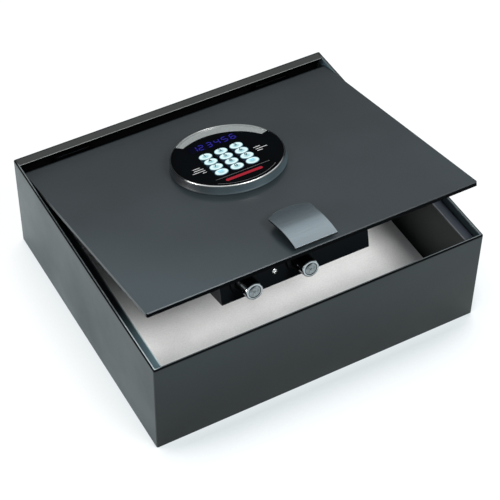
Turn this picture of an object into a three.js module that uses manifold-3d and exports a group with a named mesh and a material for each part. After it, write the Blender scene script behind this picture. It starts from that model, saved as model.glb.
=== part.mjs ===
// Top-opening electronic safe: a shallow steel case, a sprung lid, a round keypad console and a motor lock.
// Millimetres, +Z up. The origin is the middle of the underside, and the front is at -Y.
// The lid's pieces are laid out as if the lid were shut, in a group that then turns about the hinge line.
import * as THREE from 'three';
import { mergeVertices } from 'three/addons/utils/BufferGeometryUtils.js';
import Module from 'manifold-3d';

const wasm = await Module();
wasm.setup();

// Fits
const seatGap = 0.3; // between pieces that rest on or against each other
const slideGap = 0.4; // round a piece that slides or turns
const overrun = 2; // how far a cutting shape runs past the face that it cuts

// Facet counts
const discFacets = 64;
const roundFacets = 24;
const smallFacets = 12;
const cornerFacets = 3;
const curveFacets = 7;

// Case
const caseWidth = 400;
const caseDepth = 350;
const caseHeight = 127;
const caseWall = 3;
const caseCornerRadius = 2;
const rearStripWidth = 12;
const rearStripThickness = 3;
const fixingHoleDiameter = 8;
const fixingHoleFromSide = 90;
const fixingHoleFromRear = 105;

// Floor mat
const matThickness = 2;
const matMargin = 1.5;
const matHoleDiameter = 18;

// Side ledges
const ledgeWidth = 12;
const ledgeThickness = 2;
const ledgeLegHeight = 18;
const ledgeRearGap = 14;

// Lid
const lidThickness = 5;
const lidBelowRim = 7;
const lidSideGap = 1;
const lidFrontGap = 5;
const lidCornerRadius = 2;
const lidEdgeChamfer = 0.8;
const lidOpenDegrees = 13;

// Hinges
const hingeFromRear = 15;
const hingeBelowLid = 7;
const hingeFromSide = 70;
const hingePinDiameter = 5;
const hingePinHeadDiameter = 8;
const hingePinHeadLength = 2;
const hingeRearSetback = 3.5;
const bracketInnerWidth = 40;
const bracketEarThickness = 4;
const bracketEarLidGap = 1;
const bracketBaseThickness = 3;
const bracketBaseBelow = 18;
const bracketBaseAbove = 5;
const knuckleLength = 16;
const knuckleWall = 2.5;
const leafThickness = 2.5;
const leafReach = 30;

// Bolt keeper
const keeperThickness = 3;
const keeperTopDrop = 30;
const keeperSideMargin = 19;
const keeperHoleGap = 1;
const keeperSweepGap = 1.5;

// Torsion springs
const springWire = 1.6;
const springLidGap = 0.7;
const springTurns = 4;
const springTurnGap = 0.6;
const springArm = 16;
const springTurnSteps = 8;
const springSides = 5;

// Pull handle
const handleWidth = 50;
const handleThickness = 2.5;
const handleFrontHeight = 5.6;
const handleCrownHeight = 11.6;
const handleRearHeight = 9.8;
const handleFrontSetback = 2;
const handleCrownFromFront = 33;
const handleLength = 66;
const handleRearBow = 9.5;
const handleFootWidth = 30;
const handleFootDepth = 12;
const handleFootFromFront = 53;
const handleScrewSpacing = 16;

// Screws
const screwDiameter = 4;
const screwHeadDiameter = 8;
const screwHeadHeight = 2.4;
const screwBite = 3.4;
const faceScrewDiameter = 3;
const faceScrewHeadDiameter = 7;
const faceScrewHeadHeight = 1.6;
const faceScrewBite = 3;

// Console
const consoleFromFront = 197;
const consoleBaseRadius = 66;
const consoleWallRadius = 64.9;
const consoleWallHeight = 9.8;
const consoleHeight = 11;
const consoleWall = 3;
const consoleFloor = 2;
const consoleHoleRadius = 6;
const consoleBossSpacing = 100;
const consoleBossDiameter = 9;
const ringWidth = 1.5;
const fasciaThickness = 1.4;
const fasciaTopHeight = 10.2;
const crescentRise = 0.6;
const crescentMiddleWidth = 14;
const crescentEndWidth = 8.5;
const crescentStartDegrees = 16;
const crescentEndDegrees = 130;
const crescentFacets = 24;
const windowWidth = 60;
const windowHeight = 13;
const windowCornerRadius = 1.5;
const windowFromCentre = 31.4;
const windowOffset = -1.6;

// Keys
const keyWidth = 15.6;
const keyHeight = 12.2;
const keyColumnPitch = 19.2;
const keyRowPitch = 12.8;
const keyOffset = -2.5;
const keyTopRowFromCentre = 10.6;
const keyProud = 0.7;
const keyFlangeThickness = 1;
const keyFlangeWidth = 1;
const keyCornerFacets = 3;
const keypadBoardWidth = 76;
const keypadBoardHeight = 72;
const keypadBoardThickness = 1.6;
const keypadBoardRise = 2.4;
const keyRows = [
  ['key_1', 'key_2', 'key_3'],
  ['key_4', 'key_5', 'key_6'],
  ['key_7', 'key_8', 'key_9'],
  ['key_clear', 'key_0', 'key_enter'],
];

// Lock housing
const housingWidth = 180;
const housingDepth = 185;
const housingHeight = 57;
const housingWall = 1.5;
const housingOffset = -6;
const housingSetback = 44;
const housingFlangeWidth = 12;
const housingScrewFromEnd = 20;
const faceScrewOffset = 4;
const faceScrewBelowBolts = 5.7;

// Bolts and their bushes
const boltDiameter = 20;
const boltSpacing = 67;
const boltFromHousingSide = 25.4;
const boltBelowLidTop = 39;
const boltStandOut = 27;
const boltLength = 88;
const boltChamfer = 1.2;
const boltTravel = 15;
const boltTailDiameter = 8;
const boltTailLength = 7;
const bushWall = 2;
const bushFlangeWidth = 3;
const bushFlangeThickness = 3;
const bushLength = 14;

// Lock chassis
const chassisThickness = 2;
const chassisGuideFromFront = 39;
const chassisGuideBelowBolts = 15;
const chassisSideMargin = 17;
const chassisRearMargin = 6;

// Bolt carriage, rack, pinion and motor
const carriageThickness = 6;
const carriageHeight = 12;
const carriageEndMargin = 9;
const rackThickness = 7;
const rackHeight = 8;
const rackEndLength = 11;
const rackFromBolt = 24;
const gearModule = 1;
const pinionTeeth = 16;
const pinionThickness = 7;
const pinionFromCarriage = 18;
const addendumShare = 0.75;
const dedendumShare = 1.15;
const toothRootShare = 0.62;
const toothTipShare = 0.24;
const motorShaftDiameter = 4;
const motorDiameter = 20;
const gearboxWidth = 26;
const gearboxDepth = 23;
const gearboxHeight = 7;

// Control board
const boardWidth = 78;
const boardDepth = 56;
const boardThickness = 1.6;
const boardBelowLid = 13;
const boardSideGap = 21.5;
const boardFromHousingRear = 42;
const standoffDiameter = 6;
const standoffMargin = 4;
const chipWidth = 16;
const chipHeight = 3;
const capacitorDiameter = 8;
const capacitorHeight = 9;
const leadDiameter = 4;
const leadSway = 3;
const leadSteps = 8;
const leadSides = 8;

// Batteries
const batteryDiameter = 14.2;
const batteryLength = 49;
const batteryCount = 4;
const batteryGap = 0.6;
const batteryNippleDiameter = 5.2;
const batteryNippleLength = 1.2;
const holderWall = 2;
const holderHeight = 18;
const holderSideGap = 5.6;
const holderFromHousingRear = 38;
const coverLap = 4;
const coverThickness = 1.6;

// Places that follow from the sizes
const insideX = caseWidth / 2 - caseWall;
const insideY = caseDepth / 2 - caseWall;
const lidTop = caseHeight - lidBelowRim;
const lidUnder = lidTop - lidThickness;
const lidHalfWidth = insideX - lidSideGap;
const lidFront = -insideY + lidFrontGap;
const hingeY = caseDepth / 2 - hingeFromRear;
const hingeZ = lidUnder - hingeBelowLid;
const lidRear = hingeY - hingeRearSetback;
const pinRadius = hingePinDiameter / 2;
const earRadius = hingeBelowLid - bracketEarLidGap;
const knuckleRadius = pinRadius + slideGap + knuckleWall;
const leafTop = lidUnder - seatGap;
const housingFront = lidFront + housingSetback;
const housingRear = housingFront + housingDepth;
const housingBottom = lidUnder - housingHeight;
const boltZ = lidTop - boltBelowLidTop;
const boltRadius = boltDiameter / 2;
const boltEnd = housingFront - boltStandOut;
const boltRear = boltEnd + boltLength;
const housingLeft = housingOffset - housingWidth / 2 + housingWall;
const housingRight = housingOffset + housingWidth / 2 - housingWall;
const boltXs = [housingLeft + boltFromHousingSide, housingLeft + boltFromHousingSide + boltSpacing];
const bushRadius = boltRadius + slideGap + bushWall;
const chassisFront = housingFront + housingWall + seatGap;
const chassisTop = lidUnder - seatGap;
const chassisLeft = boltXs[0] - chassisSideMargin;
const carriageFront = boltRear + seatGap;
const rackLength = pinionFromCarriage + boltTravel + rackEndLength;
const pitchRadius = (gearModule * pinionTeeth) / 2;
const rackX = boltXs[1] + rackFromBolt;
const pitchLineX = rackX + rackThickness + dedendumShare * gearModule;
const pinionX = pitchLineX + pitchRadius;
const pinionY = carriageFront + carriageThickness + pinionFromCarriage;
const chassisRight = pinionX + gearboxWidth / 2 + seatGap;
const consoleY = lidFront + consoleFromFront;
const consoleTop = lidTop + consoleHeight;
const fasciaTop = lidTop + fasciaTopHeight;
const fasciaUnder = fasciaTop - fasciaThickness;
const ringOuter = consoleWallRadius - seatGap;
const fasciaRadius = ringOuter - ringWidth - seatGap * 2;
const keypadBoardTop = lidTop + seatGap + consoleFloor + keypadBoardRise + keypadBoardThickness;
const boardTop = lidUnder - boardBelowLid;
const boardX = housingRight - boardSideGap - boardWidth / 2;
const boardY = housingRear - boardFromHousingRear;
const holderWidth = batteryCount * (batteryDiameter + batteryGap) + batteryGap + holderWall * 2;
const holderDepth = batteryLength + batteryNippleLength + batteryGap * 2 + holderWall * 2;
const holderX = housingLeft + holderSideGap + holderWidth / 2;
const holderY = housingRear - holderFromHousingRear;
const handleFront = lidFront + handleFrontSetback;
const handleFootY = handleFront + handleFootFromFront;
const footScrewXs = [-handleScrewSpacing / 2, handleScrewSpacing / 2];
const bossXs = [-consoleBossSpacing / 2, consoleBossSpacing / 2];

// Materials
const paint = new THREE.MeshStandardMaterial({ color: 0x454c50, roughness: 0.5, metalness: 0.3 });
const darkPaint = new THREE.MeshStandardMaterial({ color: 0x2c3033, roughness: 0.6, metalness: 0.3 });
const felt = new THREE.MeshStandardMaterial({ color: 0xd9d8d6, roughness: 0.95, metalness: 0 });
const steel = new THREE.MeshStandardMaterial({ color: 0x9fa4a8, roughness: 0.35, metalness: 1 });
const springSteel = new THREE.MeshStandardMaterial({ color: 0x6a6e72, roughness: 0.4, metalness: 1 });
const chrome = new THREE.MeshStandardMaterial({ color: 0xdfe3e6, roughness: 0.1, metalness: 1 });
const satin = new THREE.MeshStandardMaterial({ color: 0x8b959c, roughness: 0.35, metalness: 0.8 });
const glossBlack = new THREE.MeshStandardMaterial({ color: 0x060708, roughness: 0.12, metalness: 0 });
const smokedWindow = new THREE.MeshStandardMaterial({ color: 0x05060f, roughness: 0.1, metalness: 0 });
const silver = new THREE.MeshStandardMaterial({ color: 0xa3a6a8, roughness: 0.35, metalness: 0.7 });
const keyPlastic = new THREE.MeshStandardMaterial({ color: 0xc9f3f7, roughness: 0.4, metalness: 0 });
const blackPlastic = new THREE.MeshStandardMaterial({ color: 0x121314, roughness: 0.5, metalness: 0 });
const boardGreen = new THREE.MeshStandardMaterial({ color: 0x1f5a38, roughness: 0.5, metalness: 0 });
const cellBlue = new THREE.MeshStandardMaterial({ color: 0x2b4a78, roughness: 0.35, metalness: 0.3 });

// Turns a closed geometry into a manifold solid with its faces pointing out.
function solid(geometry) {
  const bare = new THREE.BufferGeometry();
  const flat = geometry.index ? geometry.toNonIndexed() : geometry;
  bare.setAttribute('position', flat.getAttribute('position'));
  const merged = mergeVertices(bare);
  const vertProperties = merged.attributes.position.array;
  const made = (triVerts) => new wasm.Manifold(new wasm.Mesh({ numProp: 3, vertProperties, triVerts }));
  const first = made(new Uint32Array(merged.index.array));
  return first.volume() < 0 ? made(new Uint32Array(merged.index.array).reverse()) : first;
}

// Turns a manifold solid back into a geometry with flat faces.
function geometryOf(shape) {
  const mesh = shape.getMesh();
  const made = new THREE.BufferGeometry();
  made.setAttribute('position', new THREE.BufferAttribute(new Float32Array(mesh.vertProperties), 3));
  made.setIndex(new THREE.BufferAttribute(new Uint32Array(mesh.triVerts), 1));
  const flat = made.toNonIndexed();
  flat.computeVertexNormals();
  return flat;
}

const joined = (first, ...others) => others.reduce((whole, other) => whole.add(other), first);
const cut = (whole, ...tools) => tools.reduce((left, tool) => left.subtract(tool), whole);

// A box from its lowest to its highest corner.
function block(low, high) {
  const size = high.map((value, axis) => value - low[axis]);
  const geometry = new THREE.BoxGeometry(...size);
  return solid(geometry.translate(...low.map((value, axis) => value + size[axis] / 2)));
}

// A box centred on (x, y), from low to high in Z.
function slab(x, y, width, depth, low, high) {
  return block([x - width / 2, y - depth / 2, low], [x + width / 2, y + depth / 2, high]);
}

// An outline in X and Y, extruded from low to high in Z.
function prism(outline, low, high, curveSegments = cornerFacets) {
  const options = { depth: high - low, bevelEnabled: false, curveSegments };
  const geometry = new THREE.ExtrudeGeometry(outline, options);
  return solid(geometry.translate(0, 0, low));
}

// An outline in Y and Z, extruded from left to right in X.
function sidePrism(outline, left, right, curveSegments = cornerFacets) {
  const options = { depth: right - left, bevelEnabled: false, curveSegments };
  const geometry = new THREE.ExtrudeGeometry(outline, options);
  const turn = new THREE.Matrix4().makeBasis(
    new THREE.Vector3(0, 1, 0), new THREE.Vector3(0, 0, 1), new THREE.Vector3(1, 0, 0));
  return solid(geometry.applyMatrix4(turn).translate(left, 0, 0));
}

// Round bars along each axis.
function barZ(x, y, radius, low, high, facets = roundFacets) {
  const geometry = new THREE.CylinderGeometry(radius, radius, high - low, facets).rotateX(Math.PI / 2);
  return solid(geometry.translate(x, y, (low + high) / 2));
}

function barX(y, z, radius, left, right, facets = roundFacets) {
  const geometry = new THREE.CylinderGeometry(radius, radius, right - left, facets).rotateZ(Math.PI / 2);
  return solid(geometry.translate((left + right) / 2, y, z));
}

function barY(x, z, radius, front, rear, facets = roundFacets) {
  const geometry = new THREE.CylinderGeometry(radius, radius, rear - front, facets);
  return solid(geometry.translate(x, (front + rear) / 2, z));
}

// A turned shape: a profile of [radius, height] points about a Z axis through (x, y).
function turned(profile, x, y, facets = discFacets) {
  const points = profile.map(([radius, height]) => new THREE.Vector2(radius, height));
  const geometry = new THREE.LatheGeometry(points, facets).rotateX(Math.PI / 2);
  return solid(geometry.translate(x, y, 0));
}

// The outline of a rectangle with round corners, centred on (x, y).
function roundedRectangle(x, y, width, depth, radius) {
  const [left, right, front, rear] = [x - width / 2, x + width / 2, y - depth / 2, y + depth / 2];
  const outline = new THREE.Shape();
  outline.absarc(right - radius, front + radius, radius, -Math.PI / 2, 0);
  outline.absarc(right - radius, rear - radius, radius, 0, Math.PI / 2);
  outline.absarc(left + radius, rear - radius, radius, Math.PI / 2, Math.PI);
  outline.absarc(left + radius, front + radius, radius, Math.PI, (Math.PI * 3) / 2);
  outline.closePath();
  return outline;
}

// A polygon outline from [x, y] points.
const polygon = (points) => new THREE.Shape(points.map(([x, y]) => new THREE.Vector2(x, y)));

// A tube of the given points, with its ends closed.
function tube(points, radius, sides) {
  const section = new THREE.Shape();
  section.absarc(0, 0, radius, 0, Math.PI * 2);
  const path = new THREE.CatmullRomCurve3(points);
  const steps = points.length - 1;
  const options = { steps, extrudePath: path, curveSegments: sides, bevelEnabled: false };
  return solid(new THREE.ExtrudeGeometry(section, options));
}

// A pan-head screw that points up: its head is below headTop and its shank ends at tip.
function screwUp(x, y, headTop, tip) {
  const head = barZ(x, y, screwHeadDiameter / 2, headTop - screwHeadHeight, headTop, smallFacets);
  return joined(head, barZ(x, y, screwDiameter / 2, headTop - screwHeadHeight / 2, tip, smallFacets));
}

const screwBore = (x, y, low, high) => barZ(x, y, screwDiameter / 2 + seatGap, low, high, smallFacets);

// Case

function caseShell() {
  const outer = prism(roundedRectangle(0, 0, caseWidth, caseDepth, caseCornerRadius), 0, caseHeight);
  const room = block([-insideX, -insideY, caseWall], [insideX, insideY, caseHeight + overrun]);
  const stripFront = caseDepth / 2 - rearStripWidth;
  const strip = block(
    [-insideX - caseWall / 2, stripFront, caseHeight - rearStripThickness],
    [insideX + caseWall / 2, insideY + caseWall / 2, caseHeight]);
  const holes = fixingHoles(fixingHoleDiameter, -overrun, caseWall + overrun);
  return cut(joined(cut(outer, room), strip), ...holes);
}

function fixingHoles(diameter, low, high) {
  const [x, y] = [caseWidth / 2 - fixingHoleFromSide, caseDepth / 2 - fixingHoleFromRear];
  return [-1, 1].map((side) => barZ(side * x, y, diameter / 2, low, high));
}

function floorMat() {
  const low = caseWall + seatGap;
  const high = low + matThickness;
  const [halfWidth, halfDepth] = [insideX - matMargin, insideY - matMargin];
  const sheet = block([-halfWidth, -halfDepth, low], [halfWidth, halfDepth, high]);
  return cut(sheet, ...fixingHoles(matHoleDiameter, low - overrun, high + overrun));
}

// An angle along the side wall: side is -1 on the left and 1 on the right.
function lidLedge(side) {
  const top = lidUnder - seatGap;
  const wallX = insideX - seatGap;
  const front = -insideY + seatGap;
  const rear = insideY - ledgeRearGap;
  const [shelfX, legX] = [insideX - ledgeWidth, wallX - ledgeThickness];
  const across = (from, to) => [Math.min(side * from, side * to), Math.max(side * from, side * to)];
  const [shelfLeft, shelfRight] = across(shelfX, wallX);
  const [legLeft, legRight] = across(legX, wallX);
  const shelf = block([shelfLeft, front, top - ledgeThickness], [shelfRight, rear, top]);
  return joined(shelf, block([legLeft, front, top - ledgeLegHeight], [legRight, rear, top]));
}

// A hat-shaped plate behind the front wall. Its face is just ahead of the arc that the parked bolts swing on.
function boltKeeper() {
  const boltSweep = Math.hypot(hingeY - boltEnd, hingeZ - boltZ + boltRadius);
  const face = hingeY - boltSweep - keeperSweepGap;
  const wallY = -insideY + seatGap;
  const [left, right] = [boltXs[0] - keeperSideMargin, boltXs[1] + keeperSideMargin];
  const top = caseHeight - keeperTopDrop;
  const bottom = boltZ - keeperSideMargin;
  const front = face - keeperThickness;
  const plate = block([left, front, bottom], [right, face, top]);
  const shelf = (low) => block([left, wallY, low], [right, face, low + keeperThickness]);
  const holeRadius = boltRadius + keeperHoleGap;
  const holes = boltXs.map((x) => barY(x, boltZ, holeRadius, front - overrun, face + overrun));
  return cut(joined(plate, shelf(top - keeperThickness), shelf(bottom)), ...holes);
}

// Hinges

const hingeX = (side) => side * (caseWidth / 2 - hingeFromSide);

function hingeBracket(side) {
  const x = hingeX(side);
  const wallY = insideY - seatGap;
  const baseFront = wallY - bracketBaseThickness;
  const [low, high] = [hingeZ - bracketBaseBelow, hingeZ + bracketBaseAbove];
  const half = bracketInnerWidth / 2 + bracketEarThickness;
  const base = block([x - half, baseFront, low], [x + half, wallY, high]);
  const ear = (left, right) =>
    joined(
      barX(hingeY, hingeZ, earRadius, left, right),
      sidePrism(
        polygon([
          [hingeY, hingeZ - earRadius],
          [wallY, low],
          [wallY, high],
          [hingeY, high],
        ]),
        left, right));
  const ears = [
    ear(x - half, x - bracketInnerWidth / 2),
    ear(x + bracketInnerWidth / 2, x + half),
  ];
  const bore = barX(hingeY, hingeZ, pinRadius + seatGap, x - half - overrun, x + half + overrun);
  return cut(joined(base, ...ears), bore);
}

function hingePin(side) {
  const half = bracketInnerWidth / 2 + bracketEarThickness + seatGap;
  const x = hingeX(side);
  const reach = half + hingePinHeadLength;
  const shank = barX(hingeY, hingeZ, pinRadius, x - reach, x + reach);
  const head = (left) => barX(hingeY, hingeZ, hingePinHeadDiameter / 2, left, left + hingePinHeadLength);
  return joined(shank, head(x - reach), head(x + half));
}

function lidKnuckle(side) {
  const x = hingeX(side);
  const [left, right] = [x - knuckleLength / 2, x + knuckleLength / 2];
  const leafRear = hingeY - pinRadius;
  const leaf = block([left, hingeY - leafReach, leafTop - leafThickness], [right, leafRear, leafTop]);
  const web = block([left, hingeY - knuckleRadius, hingeZ], [right, leafRear, leafTop]);
  const barrel = barX(hingeY, hingeZ, knuckleRadius, left, right);
  const bore = barX(hingeY, hingeZ, pinRadius + slideGap, left - overrun, right + overrun);
  return cut(joined(leaf, web, barrel), bore);
}

// A coil round the pin beside the knuckle, with one arm under the lid and one down the rear wall.
function torsionSpring(side) {
  const radius = hingeBelowLid - springLidGap - springWire / 2;
  const pitch = springWire + springTurnGap;
  const quarter = springTurnSteps / 4;
  const turnSteps = springTurns * springTurnSteps + quarter;
  const length = (pitch * turnSteps) / springTurnSteps;
  const room = (bracketInnerWidth - knuckleLength) / 2;
  const start = hingeX(side) + knuckleLength / 2 + (room - length) / 2;
  const at = (step) => {
    const angle = Math.PI / 2 + (step / springTurnSteps) * Math.PI * 2;
    return new THREE.Vector3(
      start + (pitch * step) / springTurnSteps,
      hingeY - radius * Math.cos(angle),
      hingeZ + radius * Math.sin(angle));
  };
  const coil = Array.from({ length: turnSteps + 1 }, (_, step) => at(step));
  const lidArm = coil[0].clone().add(new THREE.Vector3(0, -springArm, 0));
  const wallArm = coil[turnSteps].clone().add(new THREE.Vector3(0, 0, -springArm));
  const leastGap = leastSelfGap(coil, springWire, springTurnSteps / 2);
  console.log('torsion spring, least gap between turns:', leastGap.toFixed(2));
  return tube([lidArm, ...coil, wallArm], springWire / 2, springSides);
}

// The least distance between points of a wire that are at least apart steps from each other, less the wire.
function leastSelfGap(points, wire, apart) {
  let least = Infinity;
  points.forEach((point, i) => {
    for (let j = i + apart; j < points.length; j += 1) least = Math.min(least, point.distanceTo(points[j]));
  });
  return least - wire;
}

// Lid

function lidPanel() {
  const middle = (lidFront + lidRear) / 2;
  const sides = roundedRectangle(0, middle, lidHalfWidth * 2, lidRear - lidFront, lidCornerRadius);
  const profile = new THREE.Shape();
  profile.moveTo(lidFront, lidUnder);
  profile.lineTo(lidRear, lidUnder);
  profile.absarc(lidRear - lidThickness, lidUnder, lidThickness, 0, Math.PI / 2);
  profile.lineTo(lidFront + lidEdgeChamfer, lidTop);
  profile.lineTo(lidFront, lidTop - lidEdgeChamfer);
  profile.closePath();
  const plate = sidePrism(profile, -lidHalfWidth - overrun, lidHalfWidth + overrun, curveFacets);
  const through = (x, y) => screwBore(x, y, lidUnder - overrun, lidTop + overrun);
  const blindTop = lidUnder + screwBite + seatGap;
  return cut(
    plate.intersect(prism(sides, lidUnder - overrun, lidTop + overrun)),
    barZ(0, consoleY, consoleHoleRadius, lidUnder - overrun, lidTop + overrun, smallFacets),
    ...footScrewXs.map((x) => through(x, handleFootY)),
    ...bossXs.map((x) => through(x, consoleY)),
    ...housingScrewPlaces().map(([x, y]) => screwBore(x, y, lidUnder - overrun, blindTop)));
}

// The handle's curve from front to rear at a given drop below its top surface.
function handleCurve(drop) {
  const rear = handleFront + handleLength;
  const crown = handleFront + handleCrownFromFront;
  const point = (y, height) => new THREE.Vector2(y, lidTop + height - drop);
  const front = new THREE.QuadraticBezierCurve(
    point(handleFront, handleFrontHeight),
    point(crown - handleCrownFromFront / 2, handleCrownHeight),
    point(crown, handleCrownHeight));
  const back = new THREE.QuadraticBezierCurve(
    point(crown, handleCrownHeight),
    point((crown + rear) / 2, handleCrownHeight),
    point(rear, handleRearHeight));
  return [...front.getPoints(curveFacets), ...back.getPoints(curveFacets).slice(1)];
}

// The handle's outline from above: straight sides and front, and a bowed rear edge.
function handleOutline() {
  const half = handleWidth / 2;
  const rear = handleFront + handleLength;
  const bowRadius = (half * half + handleRearBow * handleRearBow) / (2 * handleRearBow);
  const bowAngle = Math.asin(half / bowRadius);
  const outline = new THREE.Shape();
  outline.moveTo(-half, handleFront);
  outline.lineTo(half, handleFront);
  outline.absarc(0, rear - bowRadius, bowRadius, Math.PI / 2 - bowAngle, Math.PI / 2 + bowAngle);
  outline.closePath();
  return outline;
}

function pullHandle() {
  const profile = new THREE.Shape([...handleCurve(0), ...handleCurve(handleThickness).reverse()]);
  const half = handleWidth / 2;
  const plate = sidePrism(profile, -half - overrun, half + overrun)
    .intersect(prism(handleOutline(), lidTop, lidTop + handleCrownHeight + overrun, curveFacets * 2));
  const foot = slab(0, handleFootY, handleFootWidth, handleFootDepth,
    lidTop + seatGap, lidTop + handleRearHeight - handleThickness / 2);
  const boreTop = lidTop + screwBite + seatGap * 2;
  const bores = footScrewXs.map((x) => screwBore(x, handleFootY, lidTop - overrun, boreTop));
  return cut(joined(plate, foot), ...bores);
}

// Console

// The console's cup: a floor, a low wall with a rebate for the ring, and two screw bosses.
function consoleHousing() {
  const base = lidTop + seatGap;
  const inner = fasciaRadius - consoleWall;
  const cup = turned(
    [
      [consoleHoleRadius, base],
      [consoleBaseRadius, base],
      [consoleWallRadius, lidTop + consoleWallHeight],
      [ringOuter, lidTop + consoleWallHeight],
      [ringOuter, fasciaUnder - seatGap],
      [inner, fasciaUnder - seatGap],
      [inner, base + consoleFloor],
      [consoleHoleRadius, base + consoleFloor],
      [consoleHoleRadius, base],
    ],
    0, consoleY);
  const bossTop = base + consoleFloor + keypadBoardRise - seatGap;
  const bosses = bossXs.map((x) => barZ(x, consoleY, consoleBossDiameter / 2, base, bossTop, smallFacets));
  const bores = bossXs.map((x) => screwBore(x, consoleY, base - overrun, lidTop + screwBite));
  return cut(joined(cup, ...bosses), ...bores);
}

function consoleRing() {
  const outer = ringOuter - seatGap;
  const inner = outer - ringWidth;
  const bevel = ringWidth / 3;
  return turned(
    [
      [inner, fasciaUnder],
      [outer, fasciaUnder],
      [outer, consoleTop - bevel],
      [outer - bevel, consoleTop],
      [inner + bevel, consoleTop],
      [inner, consoleTop - bevel],
      [inner, fasciaUnder],
    ],
    0, consoleY);
}

// The crescent's outline: a band inside the given radius that is widest in the middle.
function crescentOutline(outer) {
  const start = THREE.MathUtils.degToRad(crescentStartDegrees);
  const end = THREE.MathUtils.degToRad(crescentEndDegrees);
  const middle = (start + end) / 2;
  const width = (angle) => {
    const away = Math.abs(angle - middle) / (end - middle);
    return crescentMiddleWidth + (crescentEndWidth - crescentMiddleWidth) * away * away;
  };
  const at = (radius, angle) => [radius * Math.cos(angle), consoleY + radius * Math.sin(angle)];
  const turn = (end - start) / crescentFacets;
  const angles = Array.from({ length: crescentFacets + 1 }, (_, i) => start + turn * i);
  return polygon([
    ...angles.map((angle) => at(outer, angle)),
    ...angles.reverse().map((angle) => at(outer - width(angle), angle)),
  ]);
}

function consoleCrescent() {
  const low = fasciaTop + seatGap;
  return prism(crescentOutline(fasciaRadius - seatGap), low, low + crescentRise);
}

const keyX = (column) => keyOffset + (column - 1) * keyColumnPitch;
const keyY = (row) => consoleY + keyTopRowFromCentre - row * keyRowPitch;
const windowPlace = [windowOffset, consoleY + windowFromCentre];

// The fascia disc, with a slot for each column of keys and an opening for the display window.
function consoleFascia() {
  const disc = barZ(0, consoleY, fasciaRadius, fasciaUnder, fasciaTop, discFacets);
  const rows = keyRows.length;
  const slotLength = (rows - 1) * keyRowPitch + keyHeight + slideGap * 2;
  const slotWidth = keyWidth + slideGap * 2;
  const slotY = (keyY(0) + keyY(rows - 1)) / 2;
  const slots = keyRows[0].map((_, column) =>
    prism(
      roundedRectangle(keyX(column), slotY, slotWidth, slotLength, keyHeight / 2 + slideGap),
      fasciaUnder - overrun, fasciaTop + overrun, keyCornerFacets));
  const opening = prism(
    roundedRectangle(...windowPlace, windowWidth, windowHeight, windowCornerRadius),
    fasciaUnder - overrun, fasciaTop + overrun);
  return cut(disc, ...slots, opening);
}

function displayWindow() {
  const [width, height] = [windowWidth - seatGap * 2, windowHeight - seatGap * 2];
  const outline = roundedRectangle(...windowPlace, width, height, windowCornerRadius - seatGap);
  return prism(outline, fasciaUnder, fasciaTop);
}

// A key's cap stands just above the fascia, and its flange, wider to both sides, keeps it in its slot.
function key(row, column) {
  const flangeTop = fasciaUnder - seatGap;
  const cap = roundedRectangle(keyX(column), keyY(row), keyWidth, keyHeight, keyHeight / 2);
  const flangeWidth = keyWidth + (slideGap + keyFlangeWidth) * 2 - seatGap;
  const flange = roundedRectangle(keyX(column), keyY(row), flangeWidth, keyHeight, keyHeight / 2);
  return joined(
    prism(cap, flangeTop - keyFlangeThickness, fasciaTop + keyProud, keyCornerFacets),
    prism(flange, flangeTop - keyFlangeThickness, flangeTop, keyCornerFacets));
}

function keypadBoard() {
  const low = keypadBoardTop - keypadBoardThickness;
  return slab(0, consoleY, keypadBoardWidth, keypadBoardHeight, low, keypadBoardTop);
}

// The lead from the keypad board, through the console's floor and the lid, to the control board.
function consoleLead() {
  const top = keypadBoardTop - keypadBoardThickness - seatGap;
  const bottom = boardTop + seatGap;
  const points = Array.from({ length: leadSteps + 1 }, (_, step) => {
    const along = step / leadSteps;
    const sway = leadSway * Math.sin(along * Math.PI) ** 2;
    return new THREE.Vector3(sway, consoleY, top + (bottom - top) * along);
  });
  return tube(points, leadDiameter / 2, leadSides);
}

// Lock housing

function housingScrewPlaces() {
  const reach = housingWidth / 2 + housingFlangeWidth / 2;
  const ys = [housingFront + housingScrewFromEnd, housingRear - housingScrewFromEnd];
  return [-1, 1].flatMap((side) => ys.map((y) => [housingOffset + side * reach, y]));
}

const faceScrewPlace = [(boltXs[0] + boltXs[1]) / 2 + faceScrewOffset, boltZ - faceScrewBelowBolts];
const coverScrewX = holderX + holderWidth / 2 + coverLap / 2 + screwHeadDiameter;

// A folded sheet box, open to the lid, with a flange along each side.
function lockHousing() {
  const y = (housingFront + housingRear) / 2;
  const top = lidUnder - seatGap;
  const outer = slab(housingOffset, y, housingWidth, housingDepth, housingBottom, top);
  const room = slab(housingOffset, y, housingWidth - housingWall * 2, housingDepth - housingWall * 2,
    housingBottom + housingWall, top + overrun);
  const flangedWidth = housingWidth + housingFlangeWidth * 2;
  const flanges = slab(housingOffset, y, flangedWidth, housingDepth, top - housingWall, top);
  const faceRear = housingFront + housingWall;
  const faceHole = (x, z, radius) => barY(x, z, radius, housingFront - overrun, faceRear + overrun);
  const floorTop = housingBottom + housingWall;
  const batteryHatch = slab(holderX, holderY, holderWidth - holderWall * 2, holderDepth - holderWall * 2,
    housingBottom - overrun, floorTop + overrun);
  const flangeBore = ([x, screwY]) => screwBore(x, screwY, top - housingWall - overrun, top + overrun);
  return cut(
    joined(outer, flanges),
    room,
    batteryHatch,
    screwBore(coverScrewX, holderY, housingBottom - overrun, floorTop + overrun),
    faceHole(...faceScrewPlace, faceScrewDiameter / 2 + seatGap),
    ...boltXs.map((x) => faceHole(x, boltZ, bushRadius + seatGap)),
    ...housingScrewPlaces().map(flangeBore));
}

function housingScrew([x, y]) {
  return screwUp(x, y, lidUnder - seatGap * 2 - housingWall, lidUnder + screwBite);
}

function handleScrew(x) {
  return screwUp(x, handleFootY, lidUnder - seatGap, lidTop + screwBite);
}

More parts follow.
